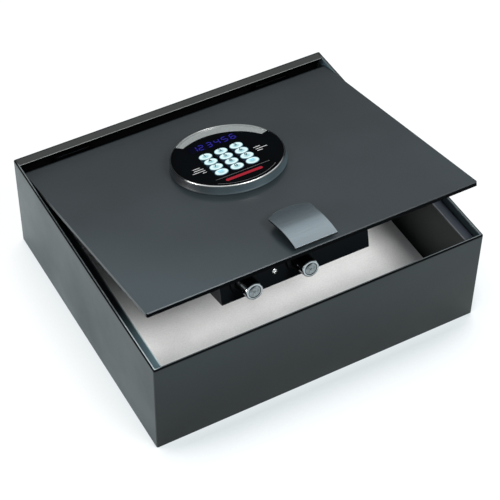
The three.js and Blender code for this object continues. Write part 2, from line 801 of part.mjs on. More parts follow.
function consoleScrew(x) {
  return screwUp(x, consoleY, lidUnder - seatGap, lidTop + screwBite - seatGap);
}

function faceScrew() {
  const headRear = housingFront - seatGap;
  const [x, z] = faceScrewPlace;
  const head = barY(x, z, faceScrewHeadDiameter / 2, headRear - faceScrewHeadHeight, headRear, smallFacets);
  const shank = barY(x, z, faceScrewDiameter / 2, headRear - faceScrewHeadHeight / 2,
    chassisFront + chassisThickness + faceScrewBite, smallFacets);
  return joined(head, shank);
}

// Bolts

function lockBolt(x) {
  const shank = barY(x, boltZ, boltRadius, boltEnd + boltChamfer, boltRear);
  const noseRadius = boltRadius - boltChamfer;
  const cone = new THREE.CylinderGeometry(boltRadius, noseRadius, boltChamfer, roundFacets);
  const nose = solid(cone.translate(x, boltEnd + boltChamfer / 2, boltZ));
  const tailEnd = boltRear + boltTailLength;
  const tail = barY(x, boltZ, boltTailDiameter / 2, boltRear - overrun, tailEnd, smallFacets);
  return joined(shank, nose, tail);
}

function boltBush(x) {
  const flangeRear = housingFront - seatGap;
  const flangeFront = flangeRear - bushFlangeThickness;
  const sleeveRear = flangeRear + bushLength;
  const flange = barY(x, boltZ, bushRadius + bushFlangeWidth, flangeFront, flangeRear);
  const sleeve = barY(x, boltZ, bushRadius, flangeFront, sleeveRear);
  const bore = barY(x, boltZ, boltRadius + slideGap, flangeFront - overrun, sleeveRear + overrun);
  return cut(joined(flange, sleeve), bore);
}

// One folded sheet: a plate under the lid, a front plate round the bushes and a guide plate for the bolts.
function lockChassis() {
  const bottom = boltZ - chassisGuideBelowBolts;
  const rear = pinionY + gearboxDepth / 2 + chassisRearMargin;
  const plateLow = chassisTop - chassisThickness;
  const top = block([chassisLeft, chassisFront, plateLow], [chassisRight, rear, chassisTop]);
  const guideFront = housingFront + chassisGuideFromFront;
  const wallRight = boltXs[1] + chassisSideMargin;
  const wall = (front) =>
    block([chassisLeft, front, bottom], [wallRight, front + chassisThickness, chassisTop]);
  const hole = (x, radius, front) =>
    barY(x, boltZ, radius, front - overrun, front + chassisThickness + overrun);
  const [screwX, screwZ] = faceScrewPlace;
  const screwHole = barY(screwX, screwZ, faceScrewDiameter / 2 + seatGap,
    chassisFront - overrun, chassisFront + chassisThickness + overrun, smallFacets);
  const accessRadius = screwHeadDiameter / 2 + slideGap;
  const access = footScrewXs.map((x) =>
    barZ(x, handleFootY, accessRadius, plateLow - overrun, chassisTop + overrun, smallFacets));
  return cut(
    joined(top, wall(chassisFront), wall(guideFront)),
    ...boltXs.map((x) => hole(x, bushRadius + seatGap, chassisFront)),
    ...boltXs.map((x) => hole(x, boltRadius + slideGap, guideFront)),
    screwHole,
    ...access);
}

// Bolt drive

const toothPitch = Math.PI * gearModule;

// One rack tooth in X and Y, pointing to +X from the rack's pitch line.
function rackTooth(y) {
  const [root, tip] = [pitchLineX - dedendumShare * gearModule, pitchLineX + addendumShare * gearModule];
  const [wide, narrow] = [(toothPitch * toothRootShare) / 2, (toothPitch * toothTipShare) / 2];
  return polygon([
    [root - gearModule / 2, y - wide],
    [root, y - wide],
    [tip, y - narrow],
    [tip, y + narrow],
    [root, y + wide],
    [root - gearModule / 2, y + wide],
  ]);
}

// The carriage: a bar across the bolts' tails with a rack that runs back beside the pinion.
function boltCarriage() {
  const rear = carriageFront + carriageThickness;
  const [low, high] = [boltZ - carriageHeight / 2, boltZ + carriageHeight / 2];
  const right = rackX + rackThickness;
  const bar = block([boltXs[0] - carriageEndMargin, carriageFront, low], [right, rear, high]);
  const [rackLow, rackHigh] = [boltZ - rackHeight / 2, boltZ + rackHeight / 2];
  const rack = block([rackX, rear - carriageThickness / 2, rackLow], [right, rear + rackLength, rackHigh]);
  const teeth = Math.floor(rackLength / toothPitch);
  const teethAhead = Math.floor(pinionFromCarriage / toothPitch);
  const toothRows = Array.from({ length: teeth }, (_, i) => i - teethAhead);
  const toothY = (i) => pinionY + (i + 1 / 2) * toothPitch;
  const solids = toothRows
    .map(toothY)
    .filter((y) => y > rear + toothPitch / 2 && y < rear + rackLength - toothPitch / 2)
    .map((y) => prism(rackTooth(y), rackLow, rackHigh));
  const boreRadius = boltTailDiameter / 2 + seatGap;
  const bores = boltXs.map((x) =>
    barY(x, boltZ, boreRadius, carriageFront - overrun, rear + overrun, smallFacets));
  return cut(joined(bar, rack, ...solids), ...bores);
}

// The pinion's outline about its own centre, with one tooth pointing at the rack.
function pinionOutline() {
  const [root, tip] = [pitchRadius - dedendumShare * gearModule, pitchRadius + addendumShare * gearModule];
  const stepAngle = (Math.PI * 2) / pinionTeeth;
  const [wide, narrow] = [(stepAngle * toothRootShare) / 2, (stepAngle * toothTipShare) / 2];
  const at = (radius, angle) => [radius * Math.cos(angle), radius * Math.sin(angle)];
  const tooth = (index) => {
    const middle = Math.PI + index * stepAngle;
    const flank = (side) => [at(root, middle + side * wide), at(tip, middle + side * narrow)];
    return [...flank(-1), ...flank(1).reverse()];
  };
  return polygon(Array.from({ length: pinionTeeth }, (_, index) => tooth(index)).flat());
}

function motorPinion() {
  const [low, high] = [boltZ - pinionThickness / 2, boltZ + pinionThickness / 2];
  const gear = solid(geometryOf(prism(pinionOutline(), low, high)).translate(pinionX, pinionY, 0));
  const boreRadius = motorShaftDiameter / 2 + slideGap / 2;
  const bore = barZ(pinionX, pinionY, boreRadius, low - overrun, high + overrun, smallFacets);
  return cut(gear, bore);
}

// The motor hangs from the chassis top plate. Its gearbox is below it, and its shaft goes through the pinion.
function lockMotor() {
  const top = chassisTop - chassisThickness - seatGap;
  const gearboxLow = boltZ + rackHeight / 2 + slideGap;
  const can = barZ(pinionX, pinionY, motorDiameter / 2, gearboxLow, top);
  const gearboxHigh = gearboxLow + gearboxHeight;
  const gearbox = slab(pinionX, pinionY, gearboxWidth, gearboxDepth, gearboxLow, gearboxHigh);
  const shaftLow = boltZ - pinionThickness / 2 - slideGap;
  const shaft = barZ(pinionX, pinionY, motorShaftDiameter / 2, shaftLow, gearboxHigh, smallFacets);
  return joined(can, gearbox, shaft);
}

// Electronics

// The board with its chip, capacitor and the four standoffs that carry it under the lid.
function controlBoard() {
  const low = boardTop - boardThickness;
  const board = slab(boardX, boardY, boardWidth, boardDepth, low, boardTop);
  const [reachX, reachY] = [boardWidth / 2 - standoffMargin, boardDepth / 2 - standoffMargin];
  const standoff = (x, y) => barZ(x, y, standoffDiameter / 2, low, lidUnder - seatGap, smallFacets);
  const standoffs = [-1, 1].flatMap((i) =>
    [-1, 1].map((j) => standoff(boardX + i * reachX, boardY + j * reachY)));
  const chipX = boardX + boardWidth / 4;
  const [chipY, capacitorY] = [boardY - boardDepth / 8, boardY + boardDepth / 4];
  const chip = slab(chipX, chipY, chipWidth, chipWidth, low - chipHeight, boardTop);
  const capacitorLow = low - capacitorHeight;
  const capacitor = barZ(chipX, capacitorY, capacitorDiameter / 2, capacitorLow, boardTop, smallFacets);
  return joined(board, chip, capacitor, ...standoffs);
}

// A tray, open below, over the hatch in the housing's bottom.
function batteryHolder() {
  const low = housingBottom + housingWall + seatGap;
  const tray = slab(holderX, holderY, holderWidth, holderDepth, low, low + holderHeight);
  const room = slab(holderX, holderY, holderWidth - holderWall * 2, holderDepth - holderWall * 2,
    low - overrun, low + holderHeight - holderWall);
  return cut(tray, room);
}

// Cells lie side by side and point to the front and the rear in turn.
function battery(index) {
  const x = holderX + (index - (batteryCount - 1) / 2) * (batteryDiameter + batteryGap);
  const trayUnder = housingBottom + housingWall + seatGap + holderHeight - holderWall;
  const z = trayUnder - seatGap - batteryDiameter / 2;
  const way = index % 2 === 0 ? 1 : -1;
  const middle = holderY - (way * batteryNippleLength) / 2;
  const [front, rear] = [middle - batteryLength / 2, middle + batteryLength / 2];
  const tip = way > 0 ? rear : front;
  const body = barY(x, z, batteryDiameter / 2, front, rear);
  const [from, to] = [tip - batteryNippleLength, tip + batteryNippleLength];
  return joined(body, barY(x, z, batteryNippleDiameter / 2, from, to, smallFacets));
}

function batteryCover() {
  const top = housingBottom - seatGap;
  const left = holderX - holderWidth / 2 - coverLap;
  const right = coverScrewX + screwHeadDiameter;
  const plate = block([left, holderY - holderDepth / 2 - coverLap, top - coverThickness],
    [right, holderY + holderDepth / 2 + coverLap, top]);
  return cut(plate, screwBore(coverScrewX, holderY, top - coverThickness - overrun, top + overrun));
}

function coverScrew() {
  const headTop = housingBottom - seatGap * 2 - coverThickness;
  return screwUp(coverScrewX, holderY, headTop, housingBottom + housingWall + screwBite);
}

// Assembly

function add(group, name, shape, material) {
  const mesh = new THREE.Mesh(geometryOf(shape), material);
  mesh.name = name;
  group.add(mesh);
}

function buildCase() {
  const group = new THREE.Group();
  add(group, 'case_shell', caseShell(), paint);
  add(group, 'floor_mat', floorMat(), felt);
  add(group, 'bolt_keeper', boltKeeper(), darkPaint);
  for (const [word, side] of [['left', -1], ['right', 1]]) {
    add(group, `${word}_lid_ledge`, lidLedge(side), darkPaint);
    add(group, `${word}_hinge_bracket`, hingeBracket(side), steel);
    add(group, `${word}_hinge_pin`, hingePin(side), steel);
  }
  return group;
}

function buildConsole(group) {
  add(group, 'console_housing', consoleHousing(), blackPlastic);
  add(group, 'console_ring', consoleRing(), chrome);
  add(group, 'console_crescent', consoleCrescent(), silver);
  add(group, 'console_fascia', consoleFascia(), glossBlack);
  add(group, 'display_window', displayWindow(), smokedWindow);
  add(group, 'keypad_board', keypadBoard(), boardGreen);
  add(group, 'console_lead', consoleLead(), blackPlastic);
  keyRows.forEach((names, row) => {
    names.forEach((name, column) => add(group, name, key(row, column), keyPlastic));
  });
}

function buildLock(group) {
  add(group, 'lock_housing', lockHousing(), darkPaint);
  add(group, 'lock_chassis', lockChassis(), steel);
  add(group, 'lock_motor', lockMotor(), steel);
  add(group, 'motor_pinion', motorPinion(), steel);
  add(group, 'bolt_carriage', boltCarriage(), steel);
  add(group, 'housing_face_screw', faceScrew(), chrome);
  ['left', 'right'].forEach((word, index) => {
    add(group, `${word}_lock_bolt`, lockBolt(boltXs[index]), chrome);
    add(group, `${word}_bolt_bush`, boltBush(boltXs[index]), blackPlastic);
  });
  housingScrewPlaces().forEach((place, index) => {
    add(group, `housing_screw_${index + 1}`, housingScrew(place), steel);
  });
  add(group, 'control_board', controlBoard(), boardGreen);
  add(group, 'battery_holder', batteryHolder(), blackPlastic);
  add(group, 'battery_cover', batteryCover(), blackPlastic);
  add(group, 'battery_cover_screw', coverScrew(), steel);
  for (let index = 0; index < batteryCount; index += 1) {
    add(group, `battery_${index + 1}`, battery(index), cellBlue);
  }
}

function buildLid() {
  const group = new THREE.Group();
  add(group, 'lid_panel', lidPanel(), paint);
  add(group, 'pull_handle', pullHandle(), satin);
  ['left', 'right'].forEach((word, index) => {
    const side = index * 2 - 1;
    add(group, `${word}_lid_knuckle`, lidKnuckle(side), steel);
    add(group, `${word}_torsion_spring`, torsionSpring(side), springSteel);
    add(group, `${word}_handle_screw`, handleScrew(footScrewXs[index]), steel);
    add(group, `${word}_console_screw`, consoleScrew(bossXs[index]), steel);
  });
  buildConsole(group);
  buildLock(group);
  return group;
}

// Turns the shut lid's pieces up about the hinge line.
function opened(lid) {
  const turn = new THREE.Group();
  turn.position.set(0, hingeY, hingeZ);
  turn.rotation.x = -THREE.MathUtils.degToRad(lidOpenDegrees);
  lid.position.set(0, -hingeY, -hingeZ);
  turn.add(lid);
  return turn;
}

const safe = new THREE.Group();
safe.name = 'electronic_safe';
safe.add(buildCase(), opened(buildLid()));

export default safe;
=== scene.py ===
"""The looks of a top-opening electronic safe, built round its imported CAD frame.

Lengths in the classes are millimetres, as in the CAD source, and a Shape turns them into metres. In the
finishes, numbers given straight to a node are metres. The pieces on the lid are laid out as if it were
shut, and LID_PLACE carries them to where the lid rests, 13 degrees open.
"""

import logging
import math
from collections.abc import Iterable, Sequence
from dataclasses import dataclass, field
from enum import Enum

import bmesh
import bpy
from mathutils import Matrix, Vector


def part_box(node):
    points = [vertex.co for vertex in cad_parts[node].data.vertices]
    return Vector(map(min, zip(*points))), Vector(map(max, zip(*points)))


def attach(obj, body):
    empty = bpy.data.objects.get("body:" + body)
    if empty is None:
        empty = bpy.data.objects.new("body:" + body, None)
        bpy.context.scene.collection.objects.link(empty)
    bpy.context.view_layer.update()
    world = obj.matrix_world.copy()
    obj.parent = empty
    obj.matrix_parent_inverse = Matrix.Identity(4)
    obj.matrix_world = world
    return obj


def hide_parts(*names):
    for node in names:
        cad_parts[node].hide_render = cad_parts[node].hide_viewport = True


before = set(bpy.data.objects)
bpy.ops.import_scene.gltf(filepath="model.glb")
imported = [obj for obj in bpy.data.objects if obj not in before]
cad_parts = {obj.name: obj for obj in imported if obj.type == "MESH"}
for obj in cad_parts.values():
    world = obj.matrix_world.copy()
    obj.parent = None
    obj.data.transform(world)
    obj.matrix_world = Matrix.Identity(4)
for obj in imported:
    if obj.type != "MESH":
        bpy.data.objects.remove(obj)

log = logging.getLogger("safe")

Point2 = tuple[float, float]
Point3 = tuple[float, float, float]
Colour = tuple[float, float, float]
Range = tuple[float, float]
Stops = Sequence[tuple[float, Colour]]
Ring = Sequence[Point3]
Verts = list[bmesh.types.BMVert]
Socket = bpy.types.NodeSocket
Value = Socket | float | Sequence[float]

MM = 0.001
HINGE_Y = 160.0
HINGE_Z = 108.0
OPEN_DEGREES = 13.0
LID_TOP = 120.0
LID_UNDER = 115.0
SCREW_SEAT = LID_UNDER - 0.3
LID_PLACE = (
    Matrix.Translation((0, HINGE_Y * MM, HINGE_Z * MM))
    @ Matrix.Rotation(math.radians(-OPEN_DEGREES), 4, "X")
    @ Matrix.Translation((0, -HINGE_Y * MM, -HINGE_Z * MM))
)
CASE_PLACE = Matrix.Identity(4)
SIDES = (("left", -1), ("right", 1))
UP = (0, 0, 1)
FRONT = (0, -1, 0)
LEFT = (-1, 0, 0)

# The part of a noise's range that most of it lies in.
NOISE_RANGE = (0.3, 0.7)

# Points of a Shape that lie closer than this are one, in millimetres.
SAME_PLACE = 1e-4

# What joins a CAD node's split faces: a gap in metres, and an angle in degrees that counts as flat.
NODE_WELD = 0.00001
FLAT_DEGREES = 0.5


class Slot(Enum):
    """The record's material slots."""

    CASE_PAINT = "case_paint"
    LID_PAINT = "lid_paint"
    INNER_PAINT = "inner_paint"
    FLOOR_FELT = "floor_felt"
    ZINC_STEEL = "zinc_steel"
    SPRING_STEEL = "spring_steel"
    BRIGHT_CHROME = "bright_chrome"
    SATIN_METAL = "satin_metal"
    SILVER_TRIM = "silver_trim"
    GLOSS_BLACK = "gloss_black"
    SMOKED_WINDOW = "smoked_window"
    LIT_KEY = "lit_key"
    BLACK_PLASTIC = "black_plastic"
    CIRCUIT_BOARD = "circuit_board"
    CELL_JACKET = "cell_jacket"


class Axis(Enum):
    """One of the three axes."""

    X = "X"
    Y = "Y"
    Z = "Z"


class Sum(Enum):
    """A sum that a node does with its numbers, by Blender's name for it."""

    ADD = "ADD"
    SUBTRACT = "SUBTRACT"
    MULTIPLY = "MULTIPLY"
    DIVIDE = "DIVIDE"
    POWER = "POWER"
    MAXIMUM = "MAXIMUM"
    ABSOLUTE = "ABSOLUTE"
    SINE = "SINE"


# Finishes


class Finish:
    """A procedural finish. Its material is made once and shared."""

    slot: Slot
    _made: dict[str, bpy.types.Material] = {}

    def material(self) -> bpy.types.Material:
        """Gives the finish's material, made at the first call.

        Returns:
            The material, with every colour and bump from its own nodes.
        """
        key = repr(self)
        if key not in Finish._made:
            tree = Nodes(type(self).__name__ + "_" + str(len(Finish._made)))
            self.build(tree)
            Finish._made[key] = tree.material
        return Finish._made[key]

    def build(self, tree: "Nodes") -> None:
        """Adds the finish's nodes to those of its new material."""
        raise NotImplementedError


def fill_ramp(ramp: bpy.types.ColorRamp, stops: Stops) -> None:
    """Puts stops on a colour ramp.

    Args:
        ramp: the ramp.
        stops: their places and colours.
    """
    ramp.elements.remove(ramp.elements[1])
    for index, (place, colour) in enumerate(stops):
        element = ramp.elements.new(place) if index else ramp.elements[0]
        element.position, element.color = place, (*colour, 1.0)


class Nodes:
    """The nodes of one material, with short calls to add and join them."""

    def __init__(self, name: str) -> None:
        """Makes a material with a bare shader.

        Args:
            name: the material's name.
        """
        self.material = bpy.data.materials.new(name)
        self.material.use_nodes = True
        self.tree = self.material.node_tree
        self.shader = self.tree.nodes["Principled BSDF"]
        spot = self.add("TexCoord")
        self.place, self.normal = spot.outputs["Object"], spot.outputs["Normal"]

    def feed(self, socket: Socket, value: Value) -> None:
        """Links a value to a socket, or sets it there as a constant.

        Args:
            socket: the socket.
            value: the socket to link, or the constant.
        """
        if isinstance(value, Socket):
            self.tree.links.new(value, socket)
        else:
            socket.default_value = (*value, 1.0) if socket.type == "RGBA" else value

    def add(self, kind: str, inputs: dict[str | int, Value] | None = None,
            **settings: str) -> bpy.types.Node:
        """Adds a node.

        Args:
            kind: Blender's name of the node type, after ShaderNode.
            inputs: what its sockets get.
            **settings: its attributes.

        Returns:
            The new node.
        """
        node = self.tree.nodes.new("ShaderNode" + kind)
        for name, setting in settings.items():
            setattr(node, name, setting)
        for socket, value in (inputs or {}).items():
            self.feed(node.inputs[socket], value)
        return node

    def put(self, **values: Value) -> None:
        """Feeds the shader's own sockets, named in lower case with underscores."""
        for name, value in values.items():
            self.feed(self.shader.inputs[name.replace("_", " ").title().replace("Ior", "IOR")], value)

    @property
    def colour(self) -> Socket:
        """What the base colour is linked to so far."""
        return self.shader.inputs["Base Color"].links[0].from_socket

    def noise(self, scale: float, detail: float = 3.0, share: Point3 | None = None) -> Socket:
        """Adds noise.

        Args:
            scale: how many times it varies over a metre.
            detail: how many finer layers it has.
            share: the stretch of the coordinates, if any.

        Returns:
            The noise as a number from 0 to 1.
        """
        place = self.place
        if share:
            place = self.add("Mapping", {"Scale": share, "Vector": place}).outputs["Vector"]
        return self.add("TexNoise", {"Scale": scale, "Detail": detail, "Vector": place}).outputs["Fac"]

    def cells(self, scale: float) -> Socket:
        """Adds a pattern of so many cells to the metre, as the distance from each cell's middle."""
        return self.add("TexVoronoi", {"Scale": scale, "Vector": self.place}).outputs["Distance"]

    def calc(self, kind: Sum, first: Socket, second: Socket | float = 0.0) -> Socket:
        """Gives the result of a sum with one or two numbers."""
        return self.add("Math", {0: first, 1: second}, operation=kind.value).outputs[0]

    def times(self, first: Socket, *others: Socket | float) -> Socket:
        """Multiplies numbers.

        Args:
            first: the first number.
            *others: the other numbers, linked or constant.

        Returns:
            The product.
        """
        for other in others:
            first = self.calc(Sum.MULTIPLY, first, other)
        return first

    def between(self, source: Socket, low: float, high: float, start: float = 0.0,
                end: float = 1.0) -> Socket:
        """Maps the range from low to high to that from start to end, and keeps the number within it."""
        ends = {"From Min": low, "From Max": high, "To Min": start, "To Max": end}
        return self.add("MapRange", {"Value": source, **ends}).outputs["Result"]

    def fading(self, source: Socket, low: float, high: float) -> Socket:
        """Gives 1 up to a number's low end, and 0 from its high end on."""
        return self.between(source, low, high, 1.0, 0.0)

    def spread(self, noise: Socket, start: float, end: float) -> Socket:
        """Maps most of a noise's range to another range."""
        return self.between(noise, *NOISE_RANGE, start, end)

    def band(self, source: Socket, low: float, high: float, soft: float) -> Socket:
        """Gives 1 where a number lies between low and high, and 0 outside, with soft ends so wide."""
        return self.times(self.between(source, low - soft, low), self.fading(source, high, high + soft))

    def ramp(self, source: Socket, stops: Stops) -> Socket:
        """Turns a number into a colour.

        Args:
            source: the number.
            stops: the places and colours of the ramp.

        Returns:
            The colour.
        """
        node = self.add("ValToRGB", {"Fac": source})
        fill_ramp(node.color_ramp, stops)
        return node.outputs["Color"]

    def tones(self, source: Socket, colour: Colour, shares: Range,
              ends: Range = NOISE_RANGE) -> Socket:
        """Turns a number into shares of a colour, the darkest and the lightest reached at the ends."""
        return self.ramp(source, [(end, scaled(colour, share)) for end, share in zip(ends, shares)])

    def blend(self, share: Socket, first: Socket, second: Colour | Socket) -> Socket:
        """Lays a share of the second colour over the first."""
        return self.add("Mix", {0: share, 6: first, 7: second}, data_type="RGBA").outputs[2]

    def axis(self, axis: Axis, place: Socket | None = None) -> Socket:
        """Gives one coordinate in metres, of a place or else of the object's own."""
        return self.add("SeparateXYZ", {"Vector": place or self.place}).outputs[axis.value]

    def on_lid(self, axis: Axis) -> Socket:
        """Gives a coordinate in the shut lid's frame, for a CAD node that lies with the lid open.

        Args:
            axis: which one.

        Returns:
            The coordinate, in metres.
        """
        back = LID_PLACE.inverted()
        turn = {"Location": back.translation, "Rotation": back.to_euler(), "Vector": self.place}
        return self.axis(axis, self.add("Mapping", turn).outputs["Vector"])

    def facing(self, way: Point3) -> Socket:
        """Gives 1 where the surface faces a way in the object's own axes, to -1 where it faces away."""
        return self.add("VectorMath", {0: self.normal, 1: way}, operation="DOT_PRODUCT").outputs["Value"]

    def distance(self, x: Socket, y: Socket) -> Socket:
        """Gives how far from 0 two coordinates lie together."""
        return self.calc(Sum.POWER, self.calc(Sum.ADD, self.times(x, x), self.times(y, y)), 0.5)

    def radius(self) -> Socket:
        """Gives the distance from the object's own Z axis, in metres."""
        return self.distance(self.axis(Axis.X), self.axis(Axis.Y))

    def towards(self, degrees: float, radius: float, low: float, high: float) -> Socket:
        """Gives how far a place on a ring about the object's own Z axis lies towards an angle.

        Args:
            degrees: the angle.
            radius: the ring's radius, in metres.
            low: the cosine at which the arc ends.
            high: the cosine from which it is full.

        Returns:
            0 outside the arc, and 1 well within it.
        """
        turn = math.radians(degrees)
        x = self.times(self.axis(Axis.X), math.cos(turn) / radius)
        y = self.times(self.axis(Axis.Y), math.sin(turn) / radius)
        return self.between(self.calc(Sum.ADD, x, y), low, high)

    def bump(self, height: Socket, strength: float, depth: float, over: Socket | None = None) -> Socket:
        """Adds relief, and sets it as the shader's normal.

        Args:
            height: the relief's height from 0 to 1.
            strength: how strongly it shows.
            depth: the height of 1, in metres.
            over: the normal of coarser relief below it.

        Returns:
            The new normal.
        """
        node = self.add("Bump", {"Strength": strength, "Distance": depth, "Height": height})
        if over:
            self.feed(node.inputs["Normal"], over)
        self.put(normal=node.outputs["Normal"])
        return node.outputs["Normal"]


def scaled(colour: Colour, share: float) -> Colour:
    """Gives a colour times a share."""
    return (colour[0] * share, colour[1] * share, colour[2] * share)


@dataclass(frozen=True)
class PowderCoat(Finish):
    """Baked paint on sheet steel, with a fine grain and a slightly uneven sheen."""

    colour: Colour
    slot: Slot
    roughness: float = 0.36
    grain: float = 0.06
    shine: float = 0.3
    uneven: float = 0.035
    dust: float = 0.0

    def build(self, tree: Nodes) -> None:
        """Adds cloudy colour, grain and sheen.

        Args:
            tree: the material's nodes.
        """
        mixed = tree.calc(Sum.ADD, tree.noise(9.0, 4.0), tree.times(tree.noise(1500.0, 2.0), 0.15))
        colour = self.edged(tree, tree.tones(mixed, self.colour, (0.82, 1.2), (0.35, 0.85)))
        low, high = self.roughness - self.uneven, self.roughness + self.uneven
        waves = tree.bump(tree.noise(38.0, 2.0), 0.06, 0.0004)
        tree.bump(tree.noise(950.0), self.grain, 0.00012, waves)
        tree.put(base_color=colour, roughness=tree.spread(tree.noise(14.0), low, high),
                 specular_ior_level=self.shine, sheen_weight=self.dust, sheen_roughness=0.4)

    def edged(self, tree: Nodes, colour: Socket) -> Socket:
        """Gives the colour with the painted light and shade that edged paints add, which plain paint
        hasn't.
        """
        return colour


@dataclass(frozen=True)
class EdgedCoat(PowderCoat):
    """Paint with a painted highlight along its upper edges, and painted shade on narrow sides turned
    away from light.

    Heights and depths are millimetres in the case's frame, or in the shut lid's.
    """

    line: Colour = (0.1, 0.11, 0.115)
    dark: Colour = (0.0012, 0.0015, 0.002)
    lit: Range = (0.35, 0.93)
    shut: Range = (-0.6, 0.25)
    above: float = 0.0
    line_to: float = 1000.0
    rear: float = 1000.0
    rear_shade_share: float = 0.3
    front_light_share: float = 1.9
    on_lid: bool = False

    def edged(self, tree: Nodes, colour: Socket) -> Socket:
        """Adds the painted highlight along edges and the painted shade on the sides; on the lid, painted
        shade to the rear and painted light to the front left.

        Args:
            tree: the material's nodes.
            colour: the paint's plain colour.

        Returns:
            The colour with its edges.
        """
        up = tree.facing(tuple(LID_PLACE.to_3x3() @ Vector(UP)) if self.on_lid else UP)
        height, depth = (tree.on_lid(a) if self.on_lid else tree.axis(a) for a in (Axis.Z, Axis.Y))
        high = tree.between(height, self.above * MM, (self.above + 0.1) * MM)
        # Painted highlight along the upper edges, broken up by noise; on the lid it fades to the rear
        # and on front faces.
        wear_and_highlight = tree.spread(tree.noise(60.0), 0.7, 1.0)
        if self.on_lid:
            wear_and_highlight = tree.times(wear_and_highlight, tree.between(depth, -0.17, 0.15, 1.0, 0.3),
                              tree.between(tree.facing(FRONT), 0.1, 0.35, 1.0, 0.12))
        lit = tree.times(tree.band(up, *self.lit, 0.06), wear_and_highlight,
                         tree.fading(depth, (self.line_to - 1.5) * MM, self.line_to * MM))
        # Painted shade: narrow sides and faces past the rear depth are dark and metallic, and on the lid
        # its front faces too.
        side = tree.times(tree.calc(Sum.MAXIMUM, tree.band(up, *self.shut, 0.06),
                                    tree.between(depth, (self.rear - 3.0) * MM, self.rear * MM)), high)
        if self.on_lid:
            side = tree.calc(Sum.MAXIMUM, side, tree.between(tree.facing(FRONT), 0.12, 0.4, 0.0, 0.55))
            # Painted shade towards the lid's rear, and painted light towards its front left.
            behind = tree.between(depth, -0.03, 0.15, 0.0, 0.5)
            colour = tree.blend(behind, colour, scaled(self.colour, self.rear_shade_share))
            near = tree.times(tree.calc(Sum.ADD, depth, tree.axis(Axis.X)), 0.6)
            before = tree.between(near, -0.18, -0.1, 0.8, 0.0)
            colour = tree.blend(before, colour, scaled(self.colour, self.front_light_share))
        tree.put(metallic=side)
        return tree.blend(side, tree.blend(tree.times(lit, high), colour, self.line), self.dark)


@dataclass(frozen=True)
class CaseCoat(PowderCoat):
    """Paint on the case, with painted shade along its rim's outer edge and a painted highlight along its
    inner one.

    Lengths are millimetres in the case's frame.
    """

    line: Colour = (0.36, 0.42, 0.44)
    line_share: float = 0.3
    dark: Colour = (0.0012, 0.0015, 0.002)
    inside: Colour = (0.026, 0.05, 0.06)
    half_width: float = 200.0
    half_depth: float = 175.0
    rim_low: float = 125.0
    rim_split: float = 1.6
    line_to: float = 168.0
    ledge: float = 114.7
    foot: float = 0.5
    foot_tone: float = 0.25
    foot_height: float = 118.0
    foot_metal: float = 0.95

    def edged(self, tree: Nodes, colour: Socket) -> Socket:
        """Adds the rim's painted highlight and painted shade, painted shade on the rear wall, painted
        light on the face above the right ledge and painted shade at the foot.

        Args:
            tree: the material's nodes.
            colour: the paint's plain colour.

        Returns:
            The colour with its edges.
        """
        across, depth, height = (tree.axis(a) for a in (Axis.X, Axis.Y, Axis.Z))
        beside = tree.calc(Sum.SUBTRACT, tree.calc(Sum.ABSOLUTE, across), self.half_width * MM)
        before = tree.calc(Sum.SUBTRACT, tree.calc(Sum.ABSOLUTE, depth), self.half_depth * MM)
        reach = tree.calc(Sum.MAXIMUM, beside, before)
        rim = tree.between(height, self.rim_low * MM, (self.rim_low + 0.2) * MM)
        split = -(self.rim_split + 0.1) * MM, -(self.rim_split - 0.1) * MM
        # Painted highlight along the rim's inner edge, stronger to the front and on the left.
        lit = tree.times(
            rim, tree.fading(reach, *split), tree.spread(tree.noise(60.0), 0.7, 1.0),
            tree.between(depth, -0.1, 0.12, 1.0, 0.3),
            tree.fading(depth, (self.line_to - 1.5) * MM, self.line_to * MM),
            tree.between(across, -0.196, -0.19, 1.0, self.line_share))
        # Painted shade on the rear wall's inner face below the strip.
        back = tree.times(tree.between(tree.facing(FRONT), 0.7, 0.9), tree.between(depth, 0.16, 0.17),
                          tree.between(height, 0.075, 0.095))
        # Painted shade along the rim's outer edge and on the rear wall: dark and metallic.
        side = tree.calc(Sum.MAXIMUM, tree.times(rim, tree.between(reach, *split)), back)
        # Painted light on the right wall's inner face above the ledge.
        right = tree.times(tree.between(tree.facing(LEFT), 0.7, 0.9), tree.between(across, 0.19, 0.195),
                           tree.between(height, self.ledge * MM, (self.ledge + 2.5) * MM))
        # Painted shade towards the foot: a darker colour, and metal that reflects less.
        below = tree.between(height, 0.0, 0.1, self.foot, 0.0)
        colour = tree.blend(below, colour, scaled(self.colour, self.foot_tone))
        colour = tree.blend(lit, tree.blend(right, colour, self.inside), self.line)
        foot_shade = tree.between(height, 0.0, self.foot_height * MM, self.foot_metal, 0.0)
        tree.put(metallic=tree.calc(Sum.MAXIMUM, side, foot_shade))
        return tree.blend(side, colour, self.dark)


